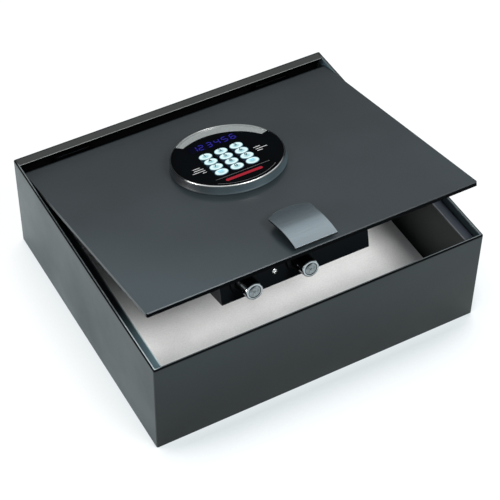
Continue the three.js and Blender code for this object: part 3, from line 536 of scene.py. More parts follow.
@dataclass(frozen=True)
class LedgeCoat(PowderCoat):
    """Paint on a lid ledge, with a painted highlight along its inner edge, painted light at its front
    end and painted shade below the edge.

    Lengths are millimetres in the case's frame.
    """

    line: Colour = (0.4, 0.48, 0.5)
    fore: Colour = (0.04, 0.085, 0.095)
    fore_width: float = 6.0
    inner_x: float = 185.0
    line_width: float = 1.3
    top: float = 114.7
    line_to: float = -20.0
    line_share: float = 0.1
    leg_tone: float = 0.15

    def edged(self, tree: Nodes, colour: Socket) -> Socket:
        """Adds the painted highlight on the inner edge, the painted light at the front end and the
        painted shade on the leg.

        Args:
            tree: the material's nodes.
            colour: the paint's plain colour.

        Returns:
            The colour with its edge.
        """
        reach, depth = tree.calc(Sum.ABSOLUTE, tree.axis(Axis.X)), tree.axis(Axis.Y)
        edge = self.inner_x + self.line_width
        # Painted light towards the ledge's front end, near its inner edge.
        fore = tree.times(tree.fading(reach, self.inner_x * MM, (self.inner_x + self.fore_width) * MM),
                          tree.fading(depth, -0.17, -0.07))
        colour = tree.blend(fore, colour, self.fore)
        # Painted highlight along the inner edge, fading to the rear.
        share = tree.times(
            tree.fading(reach, edge * MM, (edge + 0.3) * MM),
            tree.between(depth, (self.line_to - 110.0) * MM, self.line_to * MM, 1.0, self.line_share),
            tree.between(tree.axis(Axis.Z), (self.top - 1.4) * MM, (self.top - 1.1) * MM),
            tree.spread(tree.noise(90.0), 0.6, 1.0))
        # Painted shade on the faces below the edge.
        leg = tree.fading(tree.facing(UP), 0.1, 0.4)
        return tree.blend(leg, tree.blend(share, colour, self.line), scaled(self.colour, self.leg_tone))


@dataclass(frozen=True)
class Felt(Finish):
    """Short-napped pale felt."""

    colour: Colour
    slot: Slot = Slot.FLOOR_FELT

    def build(self, tree: Nodes) -> None:
        """Adds fibres of two sizes and a soft sheen.

        Args:
            tree: the material's nodes.
        """
        fibre = tree.noise(1300.0, 4.0, (1.0, 0.35, 1.0))
        cross = tree.noise(1100.0, 4.0, (0.35, 1.0, 1.0))
        nap = tree.times(tree.calc(Sum.ADD, fibre, cross), 0.5)
        cloud = tree.calc(Sum.ADD, nap, tree.times(tree.noise(22.0), 0.5))
        tree.bump(nap, 0.5, 0.0006, tree.bump(tree.noise(60.0, 2.0), 0.3, 0.001))
        tree.put(base_color=tree.tones(cloud, self.colour, (0.84, 1.04), (0.5, 0.9)), roughness=0.95,
                 sheen_weight=0.25, sheen_roughness=0.5, specular_ior_level=0.2)


@dataclass(frozen=True)
class PlatedSteel(Finish):
    """Zinc-plated or bright steel, slightly cloudy."""

    colour: Colour
    slot: Slot = Slot.ZINC_STEEL
    roughness: float = 0.32
    scratch: float = 0.1

    def build(self, tree: Nodes) -> None:
        """Adds clouds, rolling marks and small scratches.

        Args:
            tree: the material's nodes.
        """
        rolled = tree.noise(420.0, 3.0, (0.08, 1.0, 1.0))
        mixed = tree.calc(Sum.ADD, tree.times(tree.noise(45.0, 4.0), 0.7), tree.times(rolled, 0.3))
        tree.bump(rolled, self.scratch, 0.00006)
        tree.put(base_color=tree.tones(mixed, self.colour, (0.8, 1.08), (0.35, 0.65)), metallic=1.0,
                 roughness=tree.spread(mixed, self.roughness - 0.07, self.roughness + 0.07))


@dataclass(frozen=True)
class BrushedMetal(Finish):
    """Satin metal with long brush marks across it, and painted shade on its rear-facing part and its cut
    sides.
    """

    colour: Colour
    slot: Slot = Slot.SATIN_METAL
    roughness: float = 0.33
    along: Point3 = (0.02, 1.0, 1.0)
    side: Colour = (0.012, 0.014, 0.016)
    edge_roughness: float = 0.6
    rear: Colour = (0.066, 0.094, 0.11)
    rear_faces: Range = (-0.18, 0.22)
    rear_share: float = 0.95

    def build(self, tree: Nodes) -> None:
        """Adds brush marks in colour, roughness and relief, and painted shade on the rear-facing part
        and the cut sides.

        Args:
            tree: the material's nodes.
        """
        fine, broad = tree.noise(2600.0, 2.0, self.along), tree.noise(420.0, 3.0, self.along)
        marks = tree.calc(Sum.ADD, tree.times(fine, 0.6), tree.times(broad, 0.4))
        colour = tree.tones(marks, self.colour, (0.93, 1.05), (0.36, 0.64))
        # Painted shade on faces turned to the rear.
        behind = tree.between(tree.facing(FRONT), *self.rear_faces, self.rear_share, 0.0)
        colour = tree.blend(behind, colour, self.rear)
        rough = tree.between(marks, 0.35, 0.65, self.roughness - 0.03, self.roughness + 0.04)
        edge = tree.between(tree.facing(FRONT), 0.38, 0.46, 0.0, self.edge_roughness)
        tree.bump(marks, 0.09, 0.00004)
        # Painted shade on the cut sides and underside, which don't face up.
        tree.put(base_color=tree.blend(tree.fading(tree.facing(UP), 0.55, 0.75), colour, self.side),
                 roughness=tree.calc(Sum.MAXIMUM, rough, edge), metallic=0.9)


@dataclass(frozen=True)
class PolishedChrome(Finish):
    """Mirror plate over turned steel, with faint turning rings about the object's own Z axis."""

    colour: Colour = (0.46, 0.485, 0.5)
    slot: Slot = Slot.BRIGHT_CHROME
    roughness: float = 0.12

    def build(self, tree: Nodes) -> None:
        """Adds a slight haze, water marks and turning rings.

        Args:
            tree: the material's nodes.
        """
        haze = tree.noise(160.0, 4.0)
        tree.bump(tree.calc(Sum.SINE, tree.times(tree.radius(), 9000.0)), 0.05, 0.00003)
        tree.put(base_color=tree.tones(haze, self.colour, (0.9, 1.0)), metallic=1.0,
                 roughness=tree.spread(haze, self.roughness - 0.03, self.roughness + 0.05))


@dataclass(frozen=True)
class BoltChrome(PolishedChrome):
    """Chrome on a lock bolt: a painted mottled reflection on the turned disc in its end, painted shade
    in the groove round it, and painted shade on the barrel.
    """

    disc: float = 6.8
    groove: float = 7.4
    disc_tone: float = 0.35
    groove_tone: float = 0.1
    barrel_tone: float = 0.08

    def build(self, tree: Nodes) -> None:
        """Adds the painted reflection on the disc, and the painted shade in its groove and on the
        barrel.

        Args:
            tree: the material's nodes.
        """
        super().build(tree)
        radius = tree.radius()
        # Painted reflection: a darker mottled disc; painted shade: the dark groove and barrel.
        disc = tree.fading(radius, self.disc * MM, (self.disc + 0.1) * MM)
        groove = tree.band(radius, self.disc * MM, self.groove * MM, 0.0001)
        barrel = tree.between(tree.calc(Sum.ABSOLUTE, tree.facing(UP)), 0.1, 0.4, 0.9, 0.0)
        disc_reflection = tree.times(disc, tree.between(tree.noise(330.0), 0.35, 0.65, 0.55, 1.0))
        colour = tree.colour
        tones = (self.disc_tone, self.groove_tone, self.barrel_tone)
        for share, tone in zip((disc_reflection, groove, barrel), tones):
            colour = tree.blend(share, colour, scaled(self.colour, tone))
        tree.put(base_color=colour)


@dataclass(frozen=True)
class RingTrim(Finish):
    """A narrow trim ring about the object's own Z axis, smoked, with painted reflections that make it
    bright along two arcs.
    """

    bright: Colour = (0.62, 0.62, 0.61)
    smoked: Colour = (0.012, 0.014, 0.016)
    slot: Slot = Slot.BRIGHT_CHROME
    radius: float = 0.0635
    front_angle: float = 258.0
    front_share: float = 0.46
    rear_angle: float = 73.0
    rear_share: float = 0.5
    rear_light: float = 0.4

    def build(self, tree: Nodes) -> None:
        """Adds the painted reflections on the arcs and a slight haze.

        Args:
            tree: the material's nodes.
        """
        # Painted reflections: the ring is bright only along a front arc and a fainter rear arc.
        ends = ((self.front_angle, self.front_share), (self.rear_angle, self.rear_share))
        front, rear = (tree.towards(angle, self.radius, share, share + 0.3) for angle, share in ends)
        arcs = tree.calc(Sum.MAXIMUM, front, tree.times(rear, self.rear_light))
        haze = tree.calc(Sum.ADD, arcs, tree.times(tree.noise(400.0), 0.05))
        tree.put(base_color=tree.ramp(haze, [(0.02, self.smoked), (1.0, self.bright)]),
                 roughness=tree.spread(tree.noise(160.0), 0.285, 0.34), metallic=1.0)


@dataclass(frozen=True)
class TurnedSilver(Finish):
    """Silver trim with fine rings about the object's own Z axis, and lines at radii in millimetres: a
    painted highlight along its outer edge and painted shade at its groove and step.
    """

    colour: Colour
    slot: Slot = Slot.SILVER_TRIM
    lines: tuple[Point3, ...] = ((61.7, 62.3, 1.6), (60.7, 61.2, 0.25), (59.4, 59.8, 0.5))

    def build(self, tree: Nodes) -> None:
        """Adds concentric rings in colour and relief, and the lines of painted highlight and painted
        shade.

        Args:
            tree: the material's nodes.
        """
        radius, fine = tree.radius(), tree.noise(700.0)
        rings = tree.calc(Sum.SINE, tree.times(radius, 4200.0))
        marks = tree.calc(Sum.ADD, tree.times(rings, 0.1), fine)
        colour = tree.tones(marks, self.colour, (0.86, 1.1), (0.3, 0.72))
        # Painted highlight along the outer edge, and painted shade in the groove and at the step.
        for low, high, tone in self.lines:
            line = tree.times(tree.band(radius, low * MM, high * MM, 0.0001), 0.85)
            colour = tree.blend(line, colour, scaled(self.colour, tone))
        tree.bump(rings, 0.2, 0.00005)
        tree.put(base_color=colour, roughness=tree.spread(fine, 0.3, 0.42), metallic=0.5)


@dataclass(frozen=True)
class GlossPanel(Finish):
    """Polished black acrylic."""

    colour: Colour = (0.0008, 0.0012, 0.0016)
    slot: Slot = Slot.GLOSS_BLACK
    roughness: float = 0.1

    def build(self, tree: Nodes) -> None:
        """Adds a deep black with faint wipe marks.

        Args:
            tree: the material's nodes.
        """
        wipe = tree.noise(55.0, 4.0, (1.0, 0.3, 1.0))
        tree.bump(tree.noise(30.0, 2.0), 0.04, 0.0003)
        tree.put(base_color=tree.tones(wipe, self.colour, (0.8, 1.3)), specular_ior_level=0.01,
                 roughness=tree.spread(wipe, self.roughness - 0.03, self.roughness + 0.04))


@dataclass(frozen=True)
class MouldedPlastic(Finish):
    """Moulded plastic with a fine spark grain."""

    colour: Colour
    slot: Slot = Slot.BLACK_PLASTIC
    roughness: float = 0.45
    grain: float = 0.2
    shine: float = 0.35

    def build(self, tree: Nodes) -> None:
        """Adds spark grain and slightly cloudy colour.

        Args:
            tree: the material's nodes.
        """
        cloud = tree.noise(30.0)
        tree.bump(tree.cells(1700.0), self.grain, 0.00005)
        tree.put(base_color=tree.tones(cloud, self.colour, (0.85, 1.18)), specular_ior_level=self.shine,
                 roughness=tree.spread(cloud, self.roughness - 0.04, self.roughness + 0.05))


@dataclass(frozen=True)
class CupPlastic(MouldedPlastic):
    """The console body's plastic, with painted shade towards its left side."""

    shade: Colour = (0.003, 0.004, 0.005)

    def build(self, tree: Nodes) -> None:
        """Adds painted shade on the left side to the moulded plastic."""
        super().build(tree)
        # Painted shade towards the left.
        tree.put(base_color=tree.blend(tree.towards(180.0, 0.065, 0.25, 1.0), tree.colour, self.shade))


@dataclass(frozen=True)
class LitPlastic(Finish):
    """Translucent plastic with a lamp behind it, in a patch that is wider than deep."""

    colour: Colour
    glow: float
    slot: Slot = Slot.LIT_KEY
    half_width: float = 0.0078
    half_depth: float = 0.0061
    bright: Colour = (0.8, 1.0, 1.0)
    shade: Colour = (0.006, 0.02, 0.05)

    def build(self, tree: Nodes) -> None:
        """Adds a glow with a painted highlight in a ring near the rim, fading to painted shade down the
        sides.

        Args:
            tree: the material's nodes.
        """
        across = tree.distance(tree.calc(Sum.DIVIDE, tree.axis(Axis.X), self.half_width),
                               tree.calc(Sum.DIVIDE, tree.axis(Axis.Y), self.half_depth))
        patch = tree.calc(Sum.ADD, across, tree.between(tree.axis(Axis.Z), -0.0002, -0.0009))
        mottled = tree.calc(Sum.ADD, patch, tree.times(tree.noise(260.0), 0.04))
        # Painted highlight: the brightest ring lies near the rim; painted shade: the glow dims down the
        # sides.
        glow = tree.ramp(tree.times(mottled, 0.7), [
            (0.0, scaled(self.colour, 0.8)), (0.28, scaled(self.colour, 0.72)), (0.46, self.bright),
            (0.6, self.bright), (0.68, scaled(self.colour, 0.7)), (0.75, self.shade),
            (1.0, scaled(self.shade, 0.3))])
        tree.bump(tree.noise(1400.0, 2.0), 0.06, 0.00005)
        tree.put(base_color=(0.012, 0.018, 0.024), emission_color=glow, emission_strength=self.glow,
                 roughness=0.38, specular_ior_level=0.2)


@dataclass(frozen=True)
class Printed(Finish):
    """A thin line of ink, lit from behind where its glow is above 0."""

    colour: Colour
    slot: Slot = Slot.GLOSS_BLACK
    glow: float = 0.0

    def build(self, tree: Nodes) -> None:
        """Adds slightly uneven ink.

        Args:
            tree: the material's nodes.
        """
        ink = tree.noise(900.0, 2.0)
        colour = tree.tones(ink, self.colour, (0.88, 1.0))
        tree.bump(ink, 0.05, 0.00003)
        tree.put(base_color=colour, emission_strength=self.glow, roughness=0.4)
        if self.glow:
            tree.put(emission_color=colour)


@dataclass(frozen=True)
class LampBar(Finish):
    """The lit bars of a display."""

    colour: Colour
    glow: float
    slot: Slot = Slot.SMOKED_WINDOW

    def build(self, tree: Nodes) -> None:
        """Adds a slightly uneven glow.

        Args:
            tree: the material's nodes.
        """
        tree.put(base_color=(0.002, 0.002, 0.01), emission_strength=self.glow, roughness=0.5,
                 emission_color=tree.tones(tree.noise(700.0, 2.0), self.colour, (0.8, 1.2)),
                 specular_ior_level=0.1)


@dataclass(frozen=True)
class CircuitBoard(Finish):
    """Green board with tracks under its varnish."""

    colour: Colour = (0.012, 0.09, 0.035)
    tin: Colour = (0.42, 0.42, 0.4)
    slot: Slot = Slot.CIRCUIT_BOARD

    def build(self, tree: Nodes) -> None:
        """Adds tracks, pads and glass cloth.

        Args:
            tree: the material's nodes.
        """
        track = tree.add("TexBrick", {
            "Scale": 260.0, "Mortar Size": 0.035, "Vector": tree.place, "Color1": self.colour,
            "Color2": scaled(self.colour, 0.8), "Mortar": scaled(self.colour, 2.1)})
        pads = tree.fading(tree.cells(230.0), 0.16, 0.2)
        tree.bump(tree.calc(Sum.ADD, track.outputs["Fac"], pads), 0.3, 0.00008)
        tree.put(base_color=tree.blend(pads, track.outputs["Color"], self.tin), roughness=0.32,
                 coat_weight=0.3)


@dataclass(frozen=True)
class CellJacket(Finish):
    """A dry cell's sleeve, with plain bands and bare steel ends along the object's own Y axis."""

    colour: Colour = (0.02, 0.055, 0.14)
    steel: Colour = (0.55, 0.55, 0.54)
    copper: Colour = (0.42, 0.2, 0.06)
    slot: Slot = Slot.CELL_JACKET

    def build(self, tree: Nodes) -> None:
        """Adds the bands and a little wear.

        Args:
            tree: the material's nodes.
        """
        place = tree.between(tree.axis(Axis.Y), -0.0257, 0.0257)
        wear_and_highlight = tree.calc(Sum.ADD, place, tree.times(tree.noise(500.0, 2.0), 0.006))
        colour = tree.ramp(wear_and_highlight, [
            (0.0, self.steel), (0.03, self.steel), (0.036, self.colour),
            (0.7, scaled(self.colour, 1.15)), (0.705, self.copper), (0.95, scaled(self.copper, 1.1)),
            (0.957, self.steel), (1.0, self.steel)])
        metal = tree.ramp(wear_and_highlight, [(0.0, (1, 1, 1)), (0.034, (0.35, 0.35, 0.35)), (0.957, (1, 1, 1))])
        tree.bump(tree.noise(300.0, 2.0), 0.05, 0.00005)
        tree.put(base_color=colour, metallic=metal, roughness=0.28)


# Shapes


def placed(name: str, data: bpy.types.ID) -> bpy.types.Object:
    """Gives a new object of a mesh, camera, lamp or text, in the scene.

    Args:
        name: the object's name.
        data: what it shows.

    Returns:
        The object.
    """
    made = bpy.data.objects.new(name, data)
    bpy.context.scene.collection.objects.link(made)
    return made


def final_mesh(made: bpy.types.Object) -> bpy.types.Mesh:
    """Gives the mesh of an object as its modifiers leave it, and removes the object.

    Args:
        made: the object.

    Returns:
        The mesh.
    """
    bpy.context.view_layer.update()
    done = bpy.data.meshes.new_from_object(made.evaluated_get(bpy.context.evaluated_depsgraph_get()))
    bpy.data.objects.remove(made)
    return done


def along_axis(centre: Point3, axis: Axis, u: float, v: float, height: float) -> Point3:
    """Gives a point from its place across the Z or Y axis through centre, and its height along it."""
    x, y, z = centre
    return (x + u, y + v, z + height) if axis is Axis.Z else (x + u, y + height, z + v)


class Shape:
    """A mesh in the making, in millimetres."""

    def __init__(self) -> None:
        """Starts an empty mesh."""
        self.mesh = bmesh.new()

    def ring(self, points: Ring) -> Verts:
        """Adds the vertices of a ring."""
        return [self.mesh.verts.new(Vector(p)) for p in points]

    def span(self, first: Verts, second: Verts, closed: bool = True) -> None:
        """Joins two rings with faces. A ring of one point makes a fan.

        Args:
            first: one ring.
            second: the other ring.
            closed: whether the rings run round to their start.
        """
        count = max(len(first), len(second))
        for i in range(count if closed else count - 1):
            j = (i + 1) % count
            corners = [first[i % len(first)], first[j % len(first)]]
            corners += [second[j % len(second)], second[i % len(second)]]
            corners = [v for k, v in enumerate(corners) if v not in corners[:k]]
            if len(corners) > 2:
                self.mesh.faces.new(corners)

    def fill(self, loops: Sequence[Verts]) -> None:
        """Fills a flat face within the first loop of vertices and round any others.

        Args:
            loops: the outline and the holes.
        """
        edges = []
        for verts in loops:
            for pair in zip([verts[-1], *verts], verts):
                edges.append(self.mesh.edges.get(pair) or self.mesh.edges.new(pair))
        if len(loops) > 1:
            bmesh.ops.triangle_fill(self.mesh, use_beauty=True, use_dissolve=False, edges=edges)
        else:
            bmesh.ops.contextual_create(self.mesh, geom=edges)

    def loft(self, rings: Sequence[Ring], loop: bool = False) -> "Shape":
        """Joins rings one after the other.

        Args:
            rings: the rings, each a list of points.
            loop: whether the last ring joins the first. If not, both ends are filled.

        Returns:
            The shape itself.
        """
        made = [self.ring(points) for points in rings]
        for first, second in zip(made, made[1:] + made[:1] if loop else made[1:]):
            self.span(first, second)
        for end in () if loop else (made[0], made[-1]):
            if len(end) > 2:
                self.mesh.faces.new(end)
        return self

    def turned(self, profile: Sequence[Point2], centre: Point3, axis: Axis, steps: int,
               loop: bool = False) -> "Shape":
        """Turns a profile of radius and height about an axis through centre.

        Args:
            profile: the radius and the height of each point.
            centre: a point on the axis. Heights count from it.
            axis: the axis, which is Y or Z.
            steps: how many sides the turned shape has.
            loop: whether the profile closes on itself.

        Returns:
            The shape itself.
        """
        rings = []
        for radius, height in profile:
            angles = [0.0] if radius < 1e-6 else [math.tau * i / steps for i in range(steps)]
            flat = [(radius * math.cos(a), radius * math.sin(a)) for a in angles]
            rings.append([along_axis(centre, axis, u, v, height) for u, v in flat])
        return self.loft(rings, loop)

    def prism(self, outline: Sequence[Point2], low: float, high: float,
              holes: Sequence[Sequence[Point2]] = ()) -> "Shape":
        """Raises an outline in X and Y, with holes through it.

        Args:
            outline: the outline's points.
            low: the lower height.
            high: the upper height.
            holes: the outlines of the holes.

        Returns:
            The shape itself.
        """
        levels = []
        for height in (low, high):
            levels.append([self.ring(raised(loop, height)) for loop in (outline, *holes)])
            self.fill(levels[-1])
        for below, above in zip(*levels):
            self.span(below, above)
        return self

    def box(self, low: Point3, high: Point3) -> "Shape":
        """Adds a box from its lowest to its highest corner."""
        ring = [(low[0], low[1]), (high[0], low[1]), (high[0], high[1]), (low[0], high[1])]
        return self.prism(ring, low[2], high[2])

    def sweep(self, points: Sequence[Vector], radius: float, sides: int = 12) -> "Shape":
        """Sweeps a round wire along points.

        Args:
            points: the wire's centreline.
            radius: its radius.
            sides: how many sides it has.

        Returns:
            The shape itself.
        """
        rings = []
        normal = Vector((1, 0.1, 0.2))
        turns = [math.tau * k / sides for k in range(sides)]
        for i, point in enumerate(points):
            ahead = (points[min(i + 1, len(points) - 1)] - points[max(i - 1, 0)]).normalized()
            normal = (normal - ahead * normal.dot(ahead)).normalized()
            other = ahead.cross(normal)
            spokes = [(normal * math.cos(t) + other * math.sin(t)) * radius for t in turns]
            rings.append([tuple(point + spoke) for spoke in spokes])
        return self.loft(rings)

    def minus(self, cutter: "Shape") -> "Shape":
        """Cuts another shape out of this one, and uses it up.

        Args:
            cutter: the shape to cut away.

        Returns:
            The shape itself.
        """
        body, tool = self.bare("cut_body"), cutter.bare("cut_tool")
        cut = body.modifiers.new("cut", "BOOLEAN")
        cut.operation, cut.solver, cut.object = "DIFFERENCE", "EXACT", tool
        done = final_mesh(body)
        bpy.data.objects.remove(tool)
        self.mesh = bmesh.new()
        self.mesh.from_mesh(done)
        bpy.data.meshes.remove(done)
        return self

    def bare(self, name: str) -> bpy.types.Object:
        """Gives a plain object of the mesh, and uses the mesh up.

        Args:
            name: the object's name.

        Returns:
            The object.
        """
        bmesh.ops.remove_doubles(self.mesh, verts=self.mesh.verts, dist=SAME_PLACE)
        bmesh.ops.recalc_face_normals(self.mesh, faces=self.mesh.faces)
        data = bpy.data.meshes.new(name)
        self.mesh.to_mesh(data)
        self.mesh.free()
        return placed(name, data)

    def piece(
        self,
        name: str,
        finish: Finish,
        body: str,
        replaces: Iterable[str] = (),
        origin: Point3 = (0, 0, 0),
        bevel: float = 0.0,
        segments: int = 2,
        angle: float = 35.0,
        turn: Matrix | None = None,
    ) -> bpy.types.Object:
        """Makes the finished object, which rides on its body.

        Args:
            name: the object's name.
            finish: its finish.
            body: the CAD body that it rides on. All but the case are laid out on the shut lid.
            replaces: the CAD nodes that it stands for.
            origin: the object's own origin, in the shape's frame.
            bevel: the width of its edge rounding, in millimetres, or 0.
            segments: how many faces the rounding has.
            angle: edges sharper than this are rounded, or kept sharp where there is no rounding.
            turn: a turn of the object's own axes, so that a finish's rings run about its Z axis.

        Returns:
            The object.
        """
        made = self.bare(name)
        data = made.data
        own = Matrix.Translation(Vector(origin) * MM) @ (turn or Matrix.Identity(4))
        data.transform(own.inverted() @ Matrix.Scale(MM, 4))
        made.matrix_world = (CASE_PLACE if body == "case" else LID_PLACE) @ own
        data.materials.append(finish.material())
        data.shade_smooth()
        if bevel:
            soften(made, bevel, segments, angle, keep_sharp=True)
        else:
            data.set_sharp_from_angle(angle=math.radians(angle))
        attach(made, body)
        if replaces:
            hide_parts(*replaces)
        log.info("%s on %s: %d faces", name, body, len(data.polygons))
        return made


def soften(made: bpy.types.Object, bevel: float, segments: int, angle: float, keep_sharp: bool) -> None:
    """Rounds an object's edges and evens out its shading.

    Args:
        made: the object.
        bevel: the width of the rounding, in millimetres.
        segments: how many faces the rounding has.
        angle: edges sharper than this are rounded.
        keep_sharp: whether the shading stops at sharp edges.
    """
    rounding = made.modifiers.new("rounding", "BEVEL")
    rounding.width, rounding.segments = bevel * MM, segments
    rounding.limit_method, rounding.angle_limit = "ANGLE", math.radians(angle)
    made.modifiers.new("shading", "WEIGHTED_NORMAL").keep_sharp = keep_sharp


def dress_node(node: str, finish: Finish, bevel: float = 0.25, segments: int = 2) -> None:
    """Gives a CAD node its finish and rounded edges, and leaves its own mesh alone.

    Args:
        node: the node's name.
        finish: its finish.
        bevel: the width of the rounding, in millimetres.
        segments: how many faces the rounding has.
    """
    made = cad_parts[node]
    made.data.materials.clear()
    made.data.materials.append(finish.material())
    made.modifiers.new("weld", "WELD").merge_threshold = NODE_WELD
    flat = made.modifiers.new("flat", "DECIMATE")
    flat.decimate_type, flat.angle_limit = "DISSOLVE", math.radians(FLAT_DEGREES)
    soften(made, bevel, segments, 35, keep_sharp=False)
    made.data.shade_smooth()
    log.info("%s dressed with %s", node, type(finish).__name__)


def on_shut_lid(node: str) -> Point3:
    """Gives the middle of a CAD node's box, in millimetres on the shut lid."""
    low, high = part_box(node)
    return tuple(round(along / MM, 2) for along in LID_PLACE.inverted() @ ((low + high) / 2))


def arc(centre: Point2, radius: float, start: float, end: float, steps: int) -> list[Point2]:
    """Gives points on an arc in so many steps, from its start angle to its end angle in degrees."""
    angles = [math.radians(start + (end - start) * i / steps) for i in range(steps + 1)]
    return [(centre[0] + radius * math.cos(a), centre[1] + radius * math.sin(a)) for a in angles]


def rounded(centre: Point2, width: float, depth: float, radius: float, steps: int = 6) -> list[Point2]:
    """Gives the outline of a rectangle with round corners.

    Args:
        centre: the rectangle's middle.
        width: its size along X.
        depth: its size along Y.
        radius: the corners' radius.
        steps: how many steps each corner has.

    Returns:
        The outline's points.
    """
    x, y = width / 2 - radius, depth / 2 - radius
    points: list[Point2] = []
    for turn, (i, j) in enumerate(((1, 1), (-1, 1), (-1, -1), (1, -1))):
        points += arc((centre[0] + i * x, centre[1] + j * y), radius, 90 * turn, 90 * turn + 90, steps)
    return points


def circle(centre: Point2, radius: float, steps: int) -> list[Point2]:
    """Gives the points of a circle."""
    return arc(centre, radius, 0, 360 * (steps - 1) / steps, steps - 1)


def raised(outline: Sequence[Point2], height: float) -> list[Point3]:
    """Gives a flat outline at a height."""
    return [(x, y, height) for x, y in outline]


# The paints and metals of this safe

CASE_PAINT = CaseCoat((0.0014, 0.0048, 0.0052), Slot.CASE_PAINT, shine=0.36, uneven=0.06, dust=0.12)
# The strip is in the case's paint slot but far lighter than the case: painted light.
STRIP_LIT_PAINT = EdgedCoat((0.0165, 0.0185, 0.0172), Slot.CASE_PAINT, line=(0.13, 0.14, 0.14),
                        shut=(-0.6, 0.3), line_to=165.5)
LID_PAINT = EdgedCoat((0.016, 0.0218, 0.025), Slot.LID_PAINT, 0.3, shine=0.34, line=(0.22, 0.24, 0.245),
                      above=114.0, line_to=150.0, rear=153.0, uneven=0.02, on_lid=True)
INNER_PAINT = PowderCoat((0.002, 0.003, 0.004), Slot.INNER_PAINT, 0.45, shine=0.12)
LEFT_LEDGE_PAINT = LedgeCoat((0.0018, 0.003, 0.004), Slot.INNER_PAINT, 0.34, shine=0.25,
                             fore=(0.085, 0.135, 0.155), fore_width=25.0)
# The right ledge's paint is a lighter copy of the left's, in the same slot: painted light.
RIGHT_LEDGE_LIT_PAINT = LedgeCoat((0.023, 0.027, 0.036), Slot.INNER_PAINT, 0.34, shine=0.3,
                              line=(0.1, 0.105, 0.11), fore=(0.023, 0.029, 0.038), fore_width=12.0,
                              line_share=0.6)
BLACK_ZINC = PlatedSteel((0.008, 0.009, 0.011), roughness=0.42)
PALE_FELT = Felt((0.92, 0.92, 0.915))
ZINC = PlatedSteel((0.52, 0.54, 0.55))
BRASS = PlatedSteel((0.5, 0.38, 0.16), Slot.ZINC_STEEL, 0.3)
BRIGHT_STEEL = PlatedSteel((0.7, 0.71, 0.7), Slot.BRIGHT_CHROME, 0.2)
SPRING_WIRE = PlatedSteel((0.2, 0.21, 0.22), Slot.SPRING_STEEL, 0.36)
SATIN = BrushedMetal((0.27, 0.315, 0.338), roughness=0.23)
CHROME = BoltChrome()
RING_TRIM = RingTrim()
SILVER = TurnedSilver((0.25, 0.27, 0.265))
GLOSS = GlossPanel()
SMOKED = GlossPanel((0.001, 0.001, 0.005), Slot.SMOKED_WINDOW, 0.07)
BODY_PLASTIC = MouldedPlastic((0.006, 0.009, 0.011))
CUP_PLASTIC = CupPlastic((0.034, 0.049, 0.056), grain=0.1, shine=0.12)
COLLAR_PLASTIC = MouldedPlastic((0.002, 0.0025, 0.003), grain=0.1, shine=0.12)
KEY_PLASTIC = LitPlastic((0.5, 0.9, 0.97), 0.95)
KEY_INK = Printed((0.004, 0.02, 0.03), Slot.LIT_KEY)
KEY_SHADE = Printed((0.16, 0.46, 0.72), Slot.LIT_KEY, 0.35)
GREY_INK = Printed((0.1, 0.1, 0.105))
WHITE_INK = Printed((0.35, 0.35, 0.35))
RED_BAR = LampBar((0.34, 0.004, 0.005), 1.0)
BLUE_BARS = LampBar((0.011, 0.006, 0.27), 1.0)
BOARD = CircuitBoard()
DARK_BOARD = CircuitBoard((0.002, 0.0035, 0.003))
JACKET = CellJacket()


